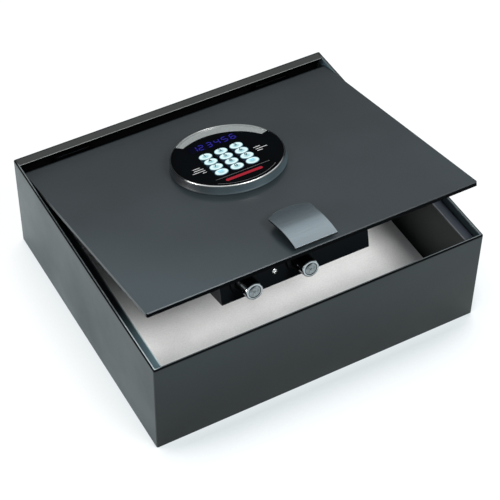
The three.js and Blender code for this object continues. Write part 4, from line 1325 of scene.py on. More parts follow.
@dataclass
class Case:
    """The steel case with its mat, ledges and bolt keeper."""

    width: float = 400.0
    depth: float = 350.0
    height: float = 127.0
    wall: float = 3.0
    corner: float = 2.0
    least_corner: float = 0.35
    edge: float = 0.9
    edge_turns: tuple[float, ...] = (0, 0.4, 0.8, 1.2, math.pi / 2)
    weld: float = 1.4
    weld_waist: float = 0.4
    strip_front: float = 163.0
    strip_thickness: float = 3.0
    strip_bite: float = 0.2
    strip_rear_gap: float = 1.4
    strip_top_gap: float = 0.05
    hole_x: float = 110.0
    hole_y: float = 70.0
    hole_radius: float = 4.0
    mat_margin: float = 1.5
    mat_corner: float = 1.5
    mat_low: float = 3.3
    mat_thickness: float = 2.0
    mat_hole_radius: float = 9.0

    def build(self) -> None:
        """Builds and dresses every piece of the case."""
        self.shell()
        self.strip()
        self.mat()
        dress_node("bolt_keeper", INNER_PAINT, 0.4)
        dress_node("left_lid_ledge", LEFT_LEDGE_PAINT, 0.9, 4)
        dress_node("right_lid_ledge", RIGHT_LEDGE_LIT_PAINT, 0.9, 4)

    def outline(self, inset: float) -> list[Point2]:
        """Gives the case's outline, inset from its outer face."""
        radius = max(self.corner - inset, self.least_corner)
        return rounded((0, 0), self.width - inset * 2, self.depth - inset * 2, radius)

    def holes(self, radius: float, steps: int) -> list[list[Point2]]:
        """Gives the outlines of the two fixing holes."""
        return [circle((side * self.hole_x, self.hole_y), radius, steps) for _, side in SIDES]

    def shell(self) -> None:
        """Builds the folded and welded tray: its floor, its four walls and their rounded rim."""
        edge, top, wall = self.edge, self.height, self.wall
        bottom = [(edge * (1 - math.sin(a)), edge * (1 - math.cos(a))) for a in self.edge_turns]
        rim = [(edge * (1 - math.cos(a)), top - edge * (1 - math.sin(a))) for a in self.edge_turns]
        inner = [(wall - inset, height) for inset, height in reversed(rim)]
        waist = wall + self.weld_waist
        seam = [(wall, wall + self.weld), (waist, waist), (wall + self.weld, wall)]
        shape = Shape()
        profile = [*bottom, *rim, *inner, *seam]
        rings = [shape.ring(raised(self.outline(inset), z)) for inset, z in profile]
        for first, second in zip(rings, rings[1:]):
            shape.span(first, second)
        holes = self.holes(self.hole_radius, 24)
        bores = []
        for ring, height in ((rings[0], 0.0), (rings[-1], wall)):
            bores.append([shape.ring(raised(hole, height)) for hole in holes])
            shape.fill([ring, *bores[-1]])
        for low, high in zip(*bores):
            shape.span(low, high)
        shape.piece("case_tray", CASE_PAINT, "case", ["case_shell"], angle=50)

    def strip(self) -> None:
        """Builds the strip that is welded along the top of the rear wall, with rounded edges."""
        half, rear = self.width / 2 - self.wall + self.strip_bite, self.depth / 2 - self.strip_rear_gap
        low, high = self.height - self.strip_thickness, self.height - self.strip_top_gap
        shape = Shape().box((-half, self.strip_front, low), (half, rear, high))
        shape.piece("rear_strip", STRIP_LIT_PAINT, "case", ["case_shell"], bevel=0.7, segments=4)

    def mat(self) -> None:
        """Builds the felt mat with its soft edge and its two fixing holes."""
        inset = (self.wall + self.mat_margin) * 2
        width, depth = self.width - inset, self.depth - inset
        outline = rounded((0, 0), width, depth, self.mat_corner, 4)
        low, high = self.mat_low, self.mat_low + self.mat_thickness
        shape = Shape().prism(outline, low, high, self.holes(self.mat_hole_radius, 40))
        mat = shape.piece("felt_mat", PALE_FELT, "case", ["floor_mat"], bevel=0.6, segments=3)


@dataclass
class Hinges:
    """The two hinges on the rear wall, with their sprung pins."""

    side_x: float = 130.0
    wire: float = 1.6
    coil_radius: float = 5.5
    turns: int = 4
    turn_gap: float = 0.6
    arm: float = 16.0
    arm_steps: int = 6
    knuckle: float = 16.0
    room: float = 12.0
    steps: int = 40

    def build(self) -> None:
        """Dresses the brackets, pins and knuckles, and winds the springs."""
        for word, side in SIDES:
            dress_node(f"{word}_hinge_bracket", BLACK_ZINC, 0.4)
            dress_node(f"{word}_hinge_pin", ZINC, 0.3)
            dress_node(f"{word}_lid_knuckle", BLACK_ZINC, 0.3)
            self.spring(word, side)

    def spring(self, word: str, side: int) -> None:
        """Winds one spring on the route of its CAD node.

        Args:
            word: left or right.
            side: -1 on the left and 1 on the right.
        """
        pitch = self.wire + self.turn_gap
        count = self.turns * self.steps + self.steps // 4
        length = pitch * count / self.steps
        start = side * self.side_x + self.knuckle / 2 + (self.room - length) / 2
        coil = []
        for step in range(count + 1):
            x, angle = start + pitch * step / self.steps, math.pi / 2 + math.tau * step / self.steps
            coil.append(Vector((x, HINGE_Y - self.coil_radius * math.cos(angle),
                                HINGE_Z + self.coil_radius * math.sin(angle))))
        away = [self.arm * i / self.arm_steps for i in range(1, self.arm_steps + 1)]
        bends = [coil[0] + Vector((0, -reach, 0)) for reach in reversed(away)]
        legs = [coil[-1] + Vector((0, 0, -reach)) for reach in away]
        shape = Shape().sweep([*bends, *coil, *legs], self.wire / 2)
        shape.piece(f"{word}_spring_coil", SPRING_WIRE, "lid", [f"{word}_torsion_spring"], angle=50)


@dataclass
class CrossScrew:
    """A pan-head screw with a cross recess."""

    head_radius: float = 4.0
    head_height: float = 2.4
    shank_radius: float = 2.0
    thread_pitch: float = 0.7
    thread_core: float = 0.86
    recess: float = 0.62
    recess_half: float = 0.42

    def make(self, name: str, seat: Point3, axis: Axis, reach: float, node: str, finish: Finish) -> None:
        """Makes the screw, with its shank pointing along the axis.

        Args:
            name: the object's name.
            seat: the middle of the face that the head bears on.
            axis: the screw's axis.
            reach: the shank's length beyond the seat.
            node: the CAD node that it stands for.
            finish: its finish.
        """
        r, h = self.head_radius, self.head_height
        shank, pitch = self.shank_radius, self.thread_pitch
        profile = [(0, reach), (shank * 0.7, reach), (shank, reach - 0.6)]
        for i in range(int(max(reach - 1.2, 0) / pitch)):
            along = reach - 0.8 - i * pitch
            profile += [(shank, along), (shank * self.thread_core, along - pitch / 2)]
        profile += [(shank, 0.2), (shank, 0), (r * 0.97, 0), (r, -0.25), (r, -h * 0.45)]
        profile += [(r * 0.93, -h * 0.72), (r * 0.78, -h * 0.9), (r * 0.5, -h * 0.98), (0, -h)]
        screw = Shape().turned(profile, seat, axis, 40)
        half, low, high = r * self.recess, -h - 0.5, h * self.recess - h
        for u, v in ((half, self.recess_half), (self.recess_half, half)):
            corners = along_axis(seat, axis, -u, -v, low), along_axis(seat, axis, u, v, high)
            screw.minus(Shape().box(*corners))
        screw.piece(name, finish, "lid", [node], seat, angle=32)


@dataclass
class Lid:
    """The lid's plate and its pull handle."""

    handle_half: float = 25.0
    handle_front: float = -165.0
    handle_rear: float = -99.0
    handle_crown: float = -132.0
    front_height: float = 5.6
    crown_height: float = 11.6
    rear_height: float = 9.8
    thickness: float = 2.5
    rear_bow: float = 9.5
    foot_y: float = -112.0
    foot_width: float = 30.0
    foot_depth: float = 12.0
    foot_gap: float = 0.3
    screw_x: float = 8.0
    screw_reach: float = 8.6
    columns: int = 28
    rows: int = 36
    screw: CrossScrew = field(default_factory=CrossScrew)

    def build(self) -> None:
        """Dresses the plate, and builds the handle and its screws."""
        dress_node("lid_panel", LID_PAINT, 0.9, 4)
        self.handle()
        for word, side in SIDES:
            seat = (side * self.screw_x, self.foot_y, SCREW_SEAT)
            self.screw.make(f"{word}_handle_bolt", seat, Axis.Z, self.screw_reach,
                            f"{word}_handle_screw", ZINC)

    def rise(self, y: float) -> float:
        """Gives the height of the handle's top surface above the lid, along its two arcs.

        Args:
            y: the place from front to rear.

        Returns:
            The height.
        """
        crown = self.crown_height
        if y <= self.handle_crown:
            t = (y - self.handle_front) / (self.handle_crown - self.handle_front)
            return (1 - t) ** 2 * self.front_height + 2 * (1 - t) * t * crown + t * t * crown
        t = (y - self.handle_crown) / (self.handle_rear - self.handle_crown)
        return (1 - t) ** 2 * crown + 2 * (1 - t) * t * crown + t * t * self.rear_height

    def rear_at(self, x: float) -> float:
        """Gives the bowed rear edge's place at x."""
        radius = (self.handle_half**2 + self.rear_bow**2) / (2 * self.rear_bow)
        return self.handle_rear - radius + math.sqrt(radius * radius - x * x)

    def handle(self) -> None:
        """Builds the arched plate with its bowed rear edge, and the foot below it."""
        shape = Shape()
        sheets = []
        for drop in (0.0, self.thickness):
            sheet = []
            for i in range(self.rows + 1):
                row = []
                for j in range(self.columns + 1):
                    x = -self.handle_half + 2 * self.handle_half * j / self.columns
                    y = self.handle_front + (self.rear_at(x) - self.handle_front) * i / self.rows
                    row.append((x, y, LID_TOP + self.rise(y) - drop))
                sheet.append(shape.ring(row))
            sheets.append(sheet)
        upper, lower = sheets
        for sheet in sheets:
            for first, second in zip(sheet, sheet[1:]):
                shape.span(first, second, closed=False)
        for side in (0, -1):
            shape.span(upper[side], lower[side], closed=False)
            shape.span([row[side] for row in upper], [row[side] for row in lower], closed=False)
        shape.piece("handle_plate", SATIN, "lid", ["pull_handle"], (0, self.handle_crown, LID_TOP),
                    bevel=0.45, segments=3, angle=50)
        x, y, low = self.foot_width / 2, self.foot_depth / 2, LID_TOP + self.foot_gap
        top = low + self.rear_height - self.thickness
        foot = Shape().box((-x, self.foot_y - y, low), (x, self.foot_y + y, top))
        foot.piece("handle_foot", SATIN, "lid", ["pull_handle"], (0, self.foot_y, LID_TOP),
                   bevel=0.8, segments=3)


# The bars of a digit, as shares of its width and height, and the bars that each digit lights.
SEGMENTS = {
    "a": ((0.0, 1.0), (1.0, 1.0)),
    "b": ((1.0, 1.0), (1.0, 0.5)),
    "c": ((1.0, 0.5), (1.0, 0.0)),
    "d": ((0.0, 0.0), (1.0, 0.0)),
    "e": ((0.0, 0.5), (0.0, 0.0)),
    "f": ((0.0, 1.0), (0.0, 0.5)),
    "g": ((0.0, 0.5), (1.0, 0.5)),
}
LIT = {1: "bc", 2: "abged", 3: "abgcd", 4: "fgbc", 5: "afgcd", 6: "afgedc"}


@dataclass
class Console:
    """The round keypad console: its body, ring, crescent, fascia, display and keys."""

    centre_y: float = 30.0
    base_radius: float = 66.0
    base_gap: float = 0.3
    wall_radius: float = 64.9
    wall_top: float = 129.8
    ring_outer: float = 64.3
    ring_inner: float = 62.8
    ring_top: float = 131.0
    fascia_low: float = 128.8
    fascia_top: float = 130.2
    print_low: float = 0.01
    print_high: float = 0.06
    bow_radii: Range = (58.3, 58.7)
    bow_angles: Range = (232.0, 307.0)
    dash_width: float = 1.25
    rebate_radius: float = 64.6
    rebate_gap: float = 0.3
    inner_radius: float = 59.5
    floor: float = 2.0
    hole_radius: float = 6.0
    crescent_outer: float = 62.2
    crescent_low: float = 130.5
    crescent_top: float = 131.1
    crescent_middle: float = 14.0
    crescent_end: float = 8.5
    crescent_from: float = 16.0
    crescent_to: float = 130.0
    crescent_steps: int = 96
    crescent_bands: int = 16
    groove_depth: float = 0.09
    grooves: int = 3
    window_y: float = 61.4
    digit_height: float = 9.6
    digit_width: float = 5.4
    digit_stroke: float = 1.35
    digit_gap: float = 0.35
    digit_slant: float = 0.1
    digit_xs: tuple[float, ...] = (-25.6, -17.4, -7.1, 2.9, 12.4, 22.4)
    key_xs: tuple[float, ...] = (-21.7, -2.5, 16.7)
    key_ys: tuple[float, ...] = (40.6, 27.8, 15.0, 2.2)
    key_width: float = 15.6
    key_depth: float = 12.2
    key_top: float = 130.9
    key_low: float = 127.5
    flange: float = 1.25
    figure_size: float = 7.4
    figure_depth: float = 0.1
    figure_swell: float = 0.1
    figure_sink: float = 0.06
    figure_shift: float = 2.3
    mark_shift: float = 2.6
    mark_length: float = 7.4
    mark_width: float = 1.5
    mark_span: Range = (-0.1, 0.09)
    names: tuple[tuple[str, ...], ...] = (
        ("key_1", "key_2", "key_3"),
        ("key_4", "key_5", "key_6"),
        ("key_7", "key_8", "key_9"),
        ("key_clear", "key_0", "key_enter"),
    )
    screw_x: float = 50.0
    screw_reach: float = 8.3
    lead_top: float = 124.4
    lead_bottom: float = 102.3
    lead_sway: float = 3.0
    lead_twist: float = 1.1
    lead_turns: float = 1.5
    lead_steps: int = 32
    lead_wire: float = 0.62
    screw: CrossScrew = field(default_factory=CrossScrew)

    def build(self) -> None:
        """Builds and dresses every piece of the console."""
        self.body()
        self.ring()
        self.crescent()
        dress_node("console_fascia", GLOSS, 0.2)
        dress_node("display_window", SMOKED, 0.15)
        dress_node("keypad_board", DARK_BOARD, 0.15)
        self.prints()
        self.digits()
        self.keys()
        self.lead()
        for word, side in SIDES:
            seat = (side * self.screw_x, self.centre_y, SCREW_SEAT)
            self.screw.make(f"{word}_console_bolt", seat, Axis.Z, self.screw_reach,
                            f"{word}_console_screw", ZINC)

    @property
    def origin(self) -> Point3:
        """The middle of the console on the lid's top."""
        return (0.0, self.centre_y, LID_TOP)

    def body(self) -> None:
        """Turns the console's body, with its flared foot and the rebate for the ring."""
        low, top = self.base_gap, self.wall_top - LID_TOP
        seat, floor = self.fascia_low - LID_TOP - self.rebate_gap, low + self.floor
        base, wall, inner = self.base_radius, self.wall_radius, self.inner_radius
        profile = [
            (self.hole_radius, low), (base - 0.3, low), (base, low + 0.3), (base, low + 0.9),
            (base - 0.35, low + 1.3), (wall + 0.35, low + 2.2), (wall + 0.1, top - 1.6),
            (wall - 0.05, top - 0.7), (wall - 0.15, top - 0.2), (self.rebate_radius, top),
            (self.rebate_radius, seat), (inner, seat), (inner, floor), (self.hole_radius, floor),
        ]
        shape = Shape().turned(profile, self.origin, Axis.Z, 160, loop=True)
        shape.piece("console_cup", CUP_PLASTIC, "lid", ["console_housing"], self.origin, angle=40)

    def ring(self) -> None:
        """Turns the thin bright ring with its rounded crest."""
        middle, half = (self.ring_outer + self.ring_inner) / 2, (self.ring_outer - self.ring_inner) / 2
        low = self.fascia_low - LID_TOP
        crest = arc((middle, self.ring_top - LID_TOP - half), half, 0, 180, 10)
        profile = [(self.ring_inner, low), (self.ring_outer, low), *crest]
        shape = Shape().turned(profile, self.origin, Axis.Z, 192, loop=True)
        shape.piece("bright_ring", RING_TRIM, "lid", ["console_ring"], self.origin, angle=60)

    def crescent(self) -> None:
        """Builds the silver crescent, with a fine step along its outer edge and shallow grooves."""
        edge = [(0.0, 0.0), (0.3, 0.0), (1.0, 0.0), (1.1, 0.2), (1.5, 0.2), (1.6, 0.0), (2.4, 0.0),
                (2.5, 0.14), (2.8, 0.14)]
        edge_width, lip, lip_from = 2.9, 0.16, 0.98
        span, outer, top = self.crescent_to - self.crescent_from, self.crescent_outer, self.crescent_top
        middle, end = self.crescent_middle, self.crescent_end
        sections = []
        for i in range(self.crescent_steps + 1):
            share = i / self.crescent_steps
            width = middle + (end - middle) * (2 * share - 1) ** 2
            section = [(outer - inset, top - drop) for inset, drop in edge]
            for j in range(self.crescent_bands + 1):
                across = j / self.crescent_bands
                wave = self.groove_depth * (0.5 - 0.5 * math.cos(math.tau * across * self.grooves))
                radius = outer - edge_width - across * (width - edge_width)
                section.append((radius, top - (wave if across < lip_from else lip)))
            section += [(outer - width, self.crescent_low), (outer, self.crescent_low)]
            angle = math.radians(self.crescent_from + span * share)
            x, y = math.cos(angle), math.sin(angle)
            sections.append([(r * x, self.centre_y + r * y, z) for r, z in section])
        shape = Shape().loft(sections)
        shape.piece("silver_crescent", SILVER, "lid", ["console_crescent"], self.origin, angle=30)

    def printed(self, shape: Shape, outline: Sequence[Point2]) -> Shape:
        """Adds a thin print on the fascia to a shape."""
        return shape.prism(outline, self.fascia_top + self.print_low, self.fascia_top + self.print_high)

    def prints(self) -> None:
        """Prints the fascia's thin lines, its plain red bar and its plain white dashes."""
        centre = (0, self.centre_y)
        (inner, outer), (start, end) = self.bow_radii, self.bow_angles
        bow = [*arc(centre, outer, start, end, 40), *arc(centre, inner, end, start, 40)]
        marks = [
            ("fascia_chord", rounded((-1.0, -8.5), 66.0, 0.45, 0.2, 2), GREY_INK),
            ("fascia_arc", bow, GREY_INK),
            ("red_bar", rounded((-3.0, -15.4), 45.0, 4.6, 2.2, 6), RED_BAR),
        ]
        dashes = [
            (-41.6, 24.7, 9.0), (-40.6, 20.7, 12.0), (-42.1, 16.7, 15.5), (-37.2, 12.7, 5.0),
            (34.2, 25.1, 8.5), (38.0, 20.9, 14.5), (34.2, 16.9, 7.0),
        ]
        for index, (x, y, length) in enumerate(dashes):
            dash = rounded((x, y), length, self.dash_width, 0.55, 3)
            marks.append((f"white_dash_{index + 1}", dash, WHITE_INK))
        for name, outline, finish in marks:
            self.printed(Shape(), outline).piece(name, finish, "lid", (), self.origin)

    def digits(self) -> None:
        """Builds the six lit digits of the display from their bars."""
        width, height, half = self.digit_width, self.digit_height, self.digit_stroke / 2
        for number, x in enumerate(self.digit_xs, 1):
            shape = Shape()
            left, low = x - width / 2, self.window_y - height / 2
            for name in LIT[number]:
                start, end = (Vector((u * width, v * height)) for u, v in SEGMENTS[name])
                along = (end - start).normalized()
                across, tip = Vector((-along.y, along.x)) * half, along * half
                start, end = start + along * self.digit_gap, end - along * self.digit_gap
                bar = [start, start + tip + across, end - tip + across, end, end - tip - across,
                       start + tip - across]
                self.printed(shape, [(left + p.x + p.y * self.digit_slant, low + p.y) for p in bar])
            shape.piece(f"digit_{number}", BLUE_BARS, "lid", (), (x, self.window_y, LID_TOP))

    def keys(self) -> None:
        """Builds the twelve dished keys, with a number near the rear edge of each number key."""
        low, top, wide = self.key_low, self.key_top, 2 * self.flange
        flange = [(0.2, low, wide), (0.0, low + 0.2, wide), (0.0, low + 1.0, wide)]
        dish = [(0.0, low + 1.0), (0.0, top - 0.55), (0.1, top - 0.25), (0.35, top - 0.06), (0.7, top),
                (1.3, top - 0.04), (2.6, top - 0.16), (4.2, top - 0.24), (5.4, top - 0.27)]
        levels = [*flange, *((inset, z, 0.0) for inset, z in dish)]
        for names, y in zip(self.names, self.key_ys):
            for name, x in zip(names, self.key_xs):
                rings = [raised(self.key_outline((x, y), inset, grow), z) for inset, z, grow in levels]
                cap = Shape().loft(rings)
                cap.piece(f"{name}_cap", KEY_PLASTIC, name, [name], (x, y, top), angle=50)
                self.legend(name, (x, y, top))

    def key_outline(self, middle: Point2, inset: float, grow: float) -> list[Point2]:
        """Gives a key's outline with round ends, inset from the key's side and grown wider."""
        wide, deep = self.key_width + grow - inset * 2, self.key_depth - inset * 2
        return rounded(middle, wide, deep, self.key_depth / 2 - inset - 0.01, 12)

    def legend(self, name: str, middle: Point3) -> None:
        """Puts a number, or a plain bar, near a key's rear edge.

        Args:
            name: the key's name.
            middle: the middle of the key's top.
        """
        sign = name.split("_")[1]
        x, y, low = middle[0], middle[1], middle[2] - self.figure_sink
        if not sign.isdigit():
            outline = rounded((x, y + self.mark_shift), self.mark_length, self.mark_width, 0.7, 4)
            bar = Shape().prism(outline, *(low + height for height in self.mark_span))
            bar.piece(f"{name}_mark", KEY_SHADE, name, (), middle)
            return
        text = bpy.data.curves.new(f"{name}_figure", "FONT")
        text.body, text.size = sign, self.figure_size
        text.extrude, text.offset = self.figure_depth, self.figure_swell
        text.align_x, text.align_y = "CENTER", "CENTER"
        shape = Shape()
        shape.mesh.from_mesh(final_mesh(placed(f"{name}_figure", text)))
        place = Vector((x, y + self.figure_shift, low))
        bmesh.ops.translate(shape.mesh, verts=shape.mesh.verts, vec=place)
        shape.piece(f"{name}_number", KEY_INK, name, (), middle)

    def lead(self) -> None:
        """Lays the four twisted wires that join the keypad board to the control board."""
        hues = {"red": (0.35, 0.01, 0.01), "black": (0.01, 0.01, 0.01), "white": (0.6, 0.6, 0.58),
                "blue": (0.01, 0.05, 0.3)}
        drop = self.lead_bottom - self.lead_top
        for index, (hue, colour) in enumerate(hues.items()):
            points = []
            for along in (step / self.lead_steps for step in range(self.lead_steps + 1)):
                twist = math.tau * (along * self.lead_turns + index / len(hues))
                x = self.lead_sway * math.sin(along * math.pi) ** 2 + self.lead_twist * math.cos(twist)
                y = self.centre_y + self.lead_twist * math.sin(twist)
                points.append(Vector((x, y, self.lead_top + drop * along)))
            wire = Shape().sweep(points, self.lead_wire, 10)
            wire.piece(f"lead_wire_{hue}", MouldedPlastic(colour, Slot.BLACK_PLASTIC, 0.35), "lid",
                       ["console_lead"], angle=60)


@dataclass
class Lock:
    """The bolt work under the lid: housing, bolts, collars, drive, electronics and cells."""

    bolt_xs: tuple[float, float] = (-69.1, -2.1)
    bolt_z: float = 81.0
    bolt_front: float = -150.0
    bolt_rear: float = -62.0
    bolt_radius: float = 10.0
    tail_radius: float = 4.0
    tail_length: float = 7.0
    tail_chamfer: float = 0.6
    slide_gap: float = 0.4
    collar_front: float = -126.3
    collar_back: float = -123.3
    sleeve_back: float = -109.3
    collar_radius: float = 15.4
    sleeve_radius: float = 12.4
    face_y: float = -123.3
    face_screw_x: float = -31.6
    face_screw_z: float = 75.3
    face_reach: float = 7.1
    flange_xs: tuple[float, float] = (-102.0, 90.0)
    flange_ys: tuple[float, float] = (-103.0, 42.0)
    flange_seat: float = LID_UNDER - 2.1
    flange_reach: float = 5.2
    cover_screw_y: float = 24.0
    cover_seat: float = 55.8
    cover_reach: float = 7.0
    cell_count: int = 4

    def build(self) -> None:
        """Builds and dresses every piece of the lock."""
        dress_node("lock_housing", INNER_PAINT, 0.5, 3)
        dress_node("lock_chassis", ZINC, 0.3)
        dress_node("lock_motor", ZINC, 0.3)
        dress_node("motor_pinion", BRASS, 0.12)
        dress_node("bolt_carriage", ZINC, 0.15)
        dress_node("control_board", BOARD, 0.15)
        dress_node("battery_holder", BODY_PLASTIC, 0.3)
        dress_node("battery_cover", BODY_PLASTIC, 0.3)
        self.bolts()
        self.collars()
        self.screws()
        self.cells()

    def bolts(self) -> None:
        """Turns the two bolts, with their stepped ends and the tails that the carriage pulls."""
        turn = Matrix.Rotation(math.radians(90), 4, "X")
        r, length = self.bolt_radius, self.bolt_rear - self.bolt_front
        tail, end, chamfer = self.tail_radius, length + self.tail_length, self.tail_chamfer
        profile = [
            (0, 1.3), (0.9, 1.25), (1.2, 0.75), (1.5, 0.7), (6.7, 0.62), (6.95, 0.5), (7.25, 0.06),
            (7.5, 0.0), (8.6, 0.0), (9.1, 0.15), (9.6, 0.75), (9.85, 1.2), (r, 1.8), (r, length - 0.8),
            (r - 0.8, length), (tail, length), (tail, end - chamfer), (tail - chamfer, end), (0, end),
        ]
        for word, x in zip(("left", "right"), self.bolt_xs):
            middle = (x, self.bolt_front, self.bolt_z)
            Shape().turned(profile, middle, Axis.Y, 72).piece(
                f"{word}_bolt_bar", CHROME, "bolts", [f"{word}_lock_bolt"], middle, angle=28, turn=turn)

    def collars(self) -> None:
        """Turns the two dark collars that the bolts slide in."""
        bore, outer, sleeve = self.bolt_radius + self.slide_gap, self.collar_radius, self.sleeve_radius
        back, rear = self.collar_back - self.collar_front, self.sleeve_back - self.collar_front
        profile = [(bore, 0.5), (bore + 0.5, 0), (outer - 0.8, 0), (outer - 0.2, 0.3), (outer, 0.9),
                   (outer, back), (sleeve, back), (sleeve, rear), (bore, rear)]
        for word, x in zip(("left", "right"), self.bolt_xs):
            middle = (x, self.collar_front, self.bolt_z)
            Shape().turned(profile, middle, Axis.Y, 72, loop=True).piece(
                f"{word}_collar", COLLAR_PLASTIC, "lid", [f"{word}_bolt_bush"], middle, angle=40)

    def screws(self) -> None:
        """Puts in the housing's, the face's and the battery cover's screws."""
        small, usual = CrossScrew(head_radius=3.5, head_height=1.6, shank_radius=1.5), CrossScrew()
        seat = (self.face_screw_x, self.face_y, self.face_screw_z)
        small.make("face_bolt", seat, Axis.Y, self.face_reach, "housing_face_screw", BRIGHT_STEEL)
        places = [(x, y, self.flange_seat) for x in self.flange_xs for y in self.flange_ys]
        for index, seat in enumerate(places, 1):
            name, node = f"flange_bolt_{index}", f"housing_screw_{index}"
            usual.make(name, seat, Axis.Z, self.flange_reach, node, ZINC)
        seat = (on_shut_lid("battery_cover_screw")[0], self.cover_screw_y, self.cover_seat)
        usual.make("cover_bolt", seat, Axis.Z, self.cover_reach, "battery_cover_screw", ZINC)

    def cells(self) -> None:
        """Turns the four dry cells, laid side by side and pointing to the front and rear in turn."""
        profile = [
            (0, -25.1), (4.9, -25.1), (5.1, -24.8), (6.7, -24.8), (7.0, -24.4), (7.1, -23.9),
            (7.1, 23.2), (6.95, 23.7), (6.4, 23.9), (4.6, 23.9), (3.0, 23.7), (2.6, 23.9),
            (2.6, 24.7), (2.2, 25.1), (0, 25.1),
        ]
        for index in range(self.cell_count):
            node = f"battery_{index + 1}"
            middle, turn = on_shut_lid(node), Matrix.Rotation(math.pi * (index % 2), 4, "Z")
            mesh = Shape().turned(profile, (0, 0, 0), Axis.Y, 48)
            place = Matrix.Translation(middle) @ turn
            bmesh.ops.transform(mesh.mesh, matrix=place, verts=mesh.mesh.verts)
            mesh.piece(f"cell_{index + 1}", JACKET, "lid", [node], middle, turn=turn)


@dataclass(frozen=True)
class Softbox:
    """A square lamp, turned to the point that it aims at. Its power is in watts."""

    name: str
    place: Point3
    aim: Point3
    size: float
    power: float
    colour: Colour

    def build(self) -> None:
        """Adds the lamp to the scene."""
        data = bpy.data.lights.new(self.name, "AREA")
        data.size, data.energy, data.color = self.size, self.power, self.colour
        made = placed(self.name, data)
        made.location = self.place
        ahead = Vector(self.aim) - Vector(self.place)
        made.rotation_euler = ahead.to_track_quat("-Z", "Y").to_euler()


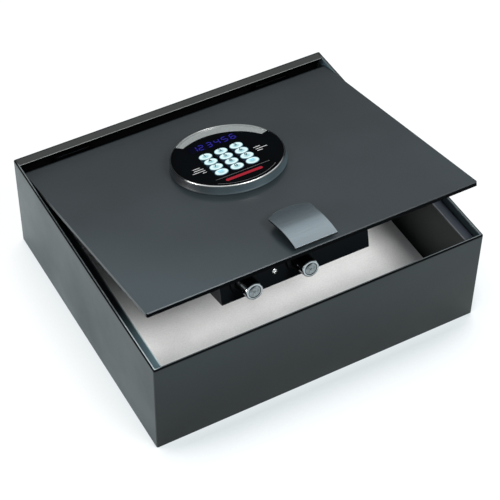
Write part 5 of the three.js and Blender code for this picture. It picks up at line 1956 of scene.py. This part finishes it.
@dataclass
class Studio:
    """The floor, the lights and the camera, in metres."""

    camera_place: Point3 = (-0.649875, -1.154205, 1.438583)
    forward: Point3 = (0.341086, 0.597632, -0.725601)
    right: Point3 = (0.874197, -0.485445, 0.011107)
    lens: float = 121.54
    sensor: float = 36.0
    clip: Range = (0.05, 100.0)
    floor_size: float = 80.0
    floor_drop: float = 0.0002
    shadow_reach: float = 0.1
    floor_colour: Colour = (0.46, 0.485, 0.5)
    floor_glow: float = 1.1
    glow_share: float = 0.84
    # The floor's painted shadow: deeper in front of and to the right of the case, with its ramps by
    # ambient occlusion.
    front_fade: Range = (-0.185, -0.165)
    right_fade: Range = (0.17, 0.2)
    shade: Stops = ((0.33, (0.68, 0.745, 0.765)), (0.74, (0.985, 0.997, 1.0)))
    deeper: Stops = ((0.55, (0.6, 0.655, 0.67)), (0.74, (0.9, 0.935, 0.95)), (0.9, (0.985, 0.997, 1.0)))
    mirrored: Stops = ((0.45, (0.44, 0.55, 0.58)), (0.84, (0.86, 0.975, 1.0)))
    sky_hue: Colour = (0.95, 0.98, 1.0)
    sky: tuple[Point2, ...] = (
        (0.0, 1.0), (0.1, 0.8), (0.15, 0.1), (0.3, 0.14), (0.45, 1.2), (0.85, 0.95), (1.0, 0.4))
    lamps: tuple[Softbox, ...] = (
        Softbox("key", (0.6, -1.9, 2.3), (0, -0.05, 0.05), 0.9, 95.0, (1.0, 1.0, 0.99)),
        Softbox("softbox", (0.05, -0.75, 1.9), (0.05, -0.75, 0.0), 1.7, 8.0, (0.97, 0.99, 1.0)),
        Softbox("left_fill", (-1.7, 0.4, 0.26), (-0.2, 0.0, 0.06), 0.45, 52.0, (1.0, 0.98, 0.97)),
    )

    def build(self) -> None:
        """Makes the floor, the lights, the world and the camera."""
        bpy.context.scene.view_settings.view_transform = "Standard"
        self.camera()
        self.floor()
        self.world()
        for lamp in self.lamps:
            lamp.build()

    def camera(self) -> None:
        """Puts the camera where the photograph was taken from."""
        data = bpy.data.cameras.new("photo_camera")
        data.lens, data.sensor_width = self.lens, self.sensor
        data.clip_start, data.clip_end = self.clip
        made = placed("photo_camera", data)
        back, right = -Vector(self.forward).normalized(), Vector(self.right).normalized()
        turn = Matrix((right, back.cross(right), back)).transposed().to_4x4()
        made.matrix_world = Matrix.Translation(self.camera_place) @ turn
        bpy.context.scene.camera = made

    def floor(self) -> None:
        """Lays the pale floor, which stays near white and keeps the object's soft shadow: partly
        rendered, partly a painted shadow by ambient occlusion.
        """
        half = self.floor_size / 2
        data = bpy.data.meshes.new("studio_floor")
        corners = raised([(-half, -half), (half, -half), (half, half), (-half, half)], 0)
        data.from_pydata(corners, [], [(0, 1, 2, 3)])
        made = placed("studio_floor", data)
        made.location.z = -self.floor_drop
        tree = Nodes("studio_floor")
        tree.put(base_color=self.floor_colour, roughness=0.9, specular_ior_level=0.1)
        near = tree.add("AmbientOcclusion", {"Distance": self.shadow_reach}).outputs["AO"]
        rays = tree.add("LightPath").outputs
        camera, glossy, through = (rays[f"Is {ray} Ray"] for ray in ("Camera", "Glossy", "Transmission"))
        # Painted shadow: the glow darkens near the object by ambient occlusion, deeper in front and to
        # the right, and by another ramp for reflections.
        kinds = (self.shade, self.deeper, self.mirrored)
        shade, deeper, mirrored = (tree.ramp(near, stops) for stops in kinds)
        before = tree.calc(Sum.MAXIMUM, tree.fading(tree.axis(Axis.Y), *self.front_fade),
                           tree.between(tree.axis(Axis.X), *self.right_fade))
        colour = tree.blend(glossy, tree.blend(before, shade, deeper), mirrored)
        glow = tree.add("Emission", {"Color": colour, "Strength": self.floor_glow})
        seen = tree.calc(Sum.MAXIMUM, tree.calc(Sum.MAXIMUM, camera, glossy), through)
        mix = tree.add("MixShader", {
            "Fac": tree.times(seen, self.glow_share), 1: tree.shader.outputs["BSDF"],
            2: glow.outputs["Emission"]})
        tree.feed(tree.tree.nodes["Material Output"].inputs["Surface"], mix.outputs["Shader"])
        data.materials.append(tree.material)

    def world(self) -> None:
        """Lights the scene softly from all round, more from above than from low down."""
        world = bpy.data.worlds.new("studio")
        world.use_nodes = True
        bpy.context.scene.world = world
        nodes, links = world.node_tree.nodes, world.node_tree.links
        kinds = ("TexCoord", "SeparateXYZ", "ValToRGB")
        place, split, ramp = (nodes.new("ShaderNode" + kind) for kind in kinds)
        stops = [(height, scaled(self.sky_hue, light)) for height, light in self.sky]
        fill_ramp(ramp.color_ramp, stops)
        links.new(place.outputs["Generated"], split.inputs["Vector"])
        links.new(split.outputs["Z"], ramp.inputs["Fac"])
        links.new(ramp.outputs["Color"], nodes["Background"].inputs["Color"])
        nodes["Background"].inputs["Strength"].default_value = 1.0


def main() -> None:
    """Builds the safe's pieces in order, then the studio round them."""
    logging.basicConfig(level=logging.INFO, format="%(message)s")
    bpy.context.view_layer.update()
    for part in (Case(), Hinges(), Lid(), Console(), Lock(), Studio()):
        log.info("building %s", type(part).__name__)
        part.build()


if __name__ == "__main__":
    main()
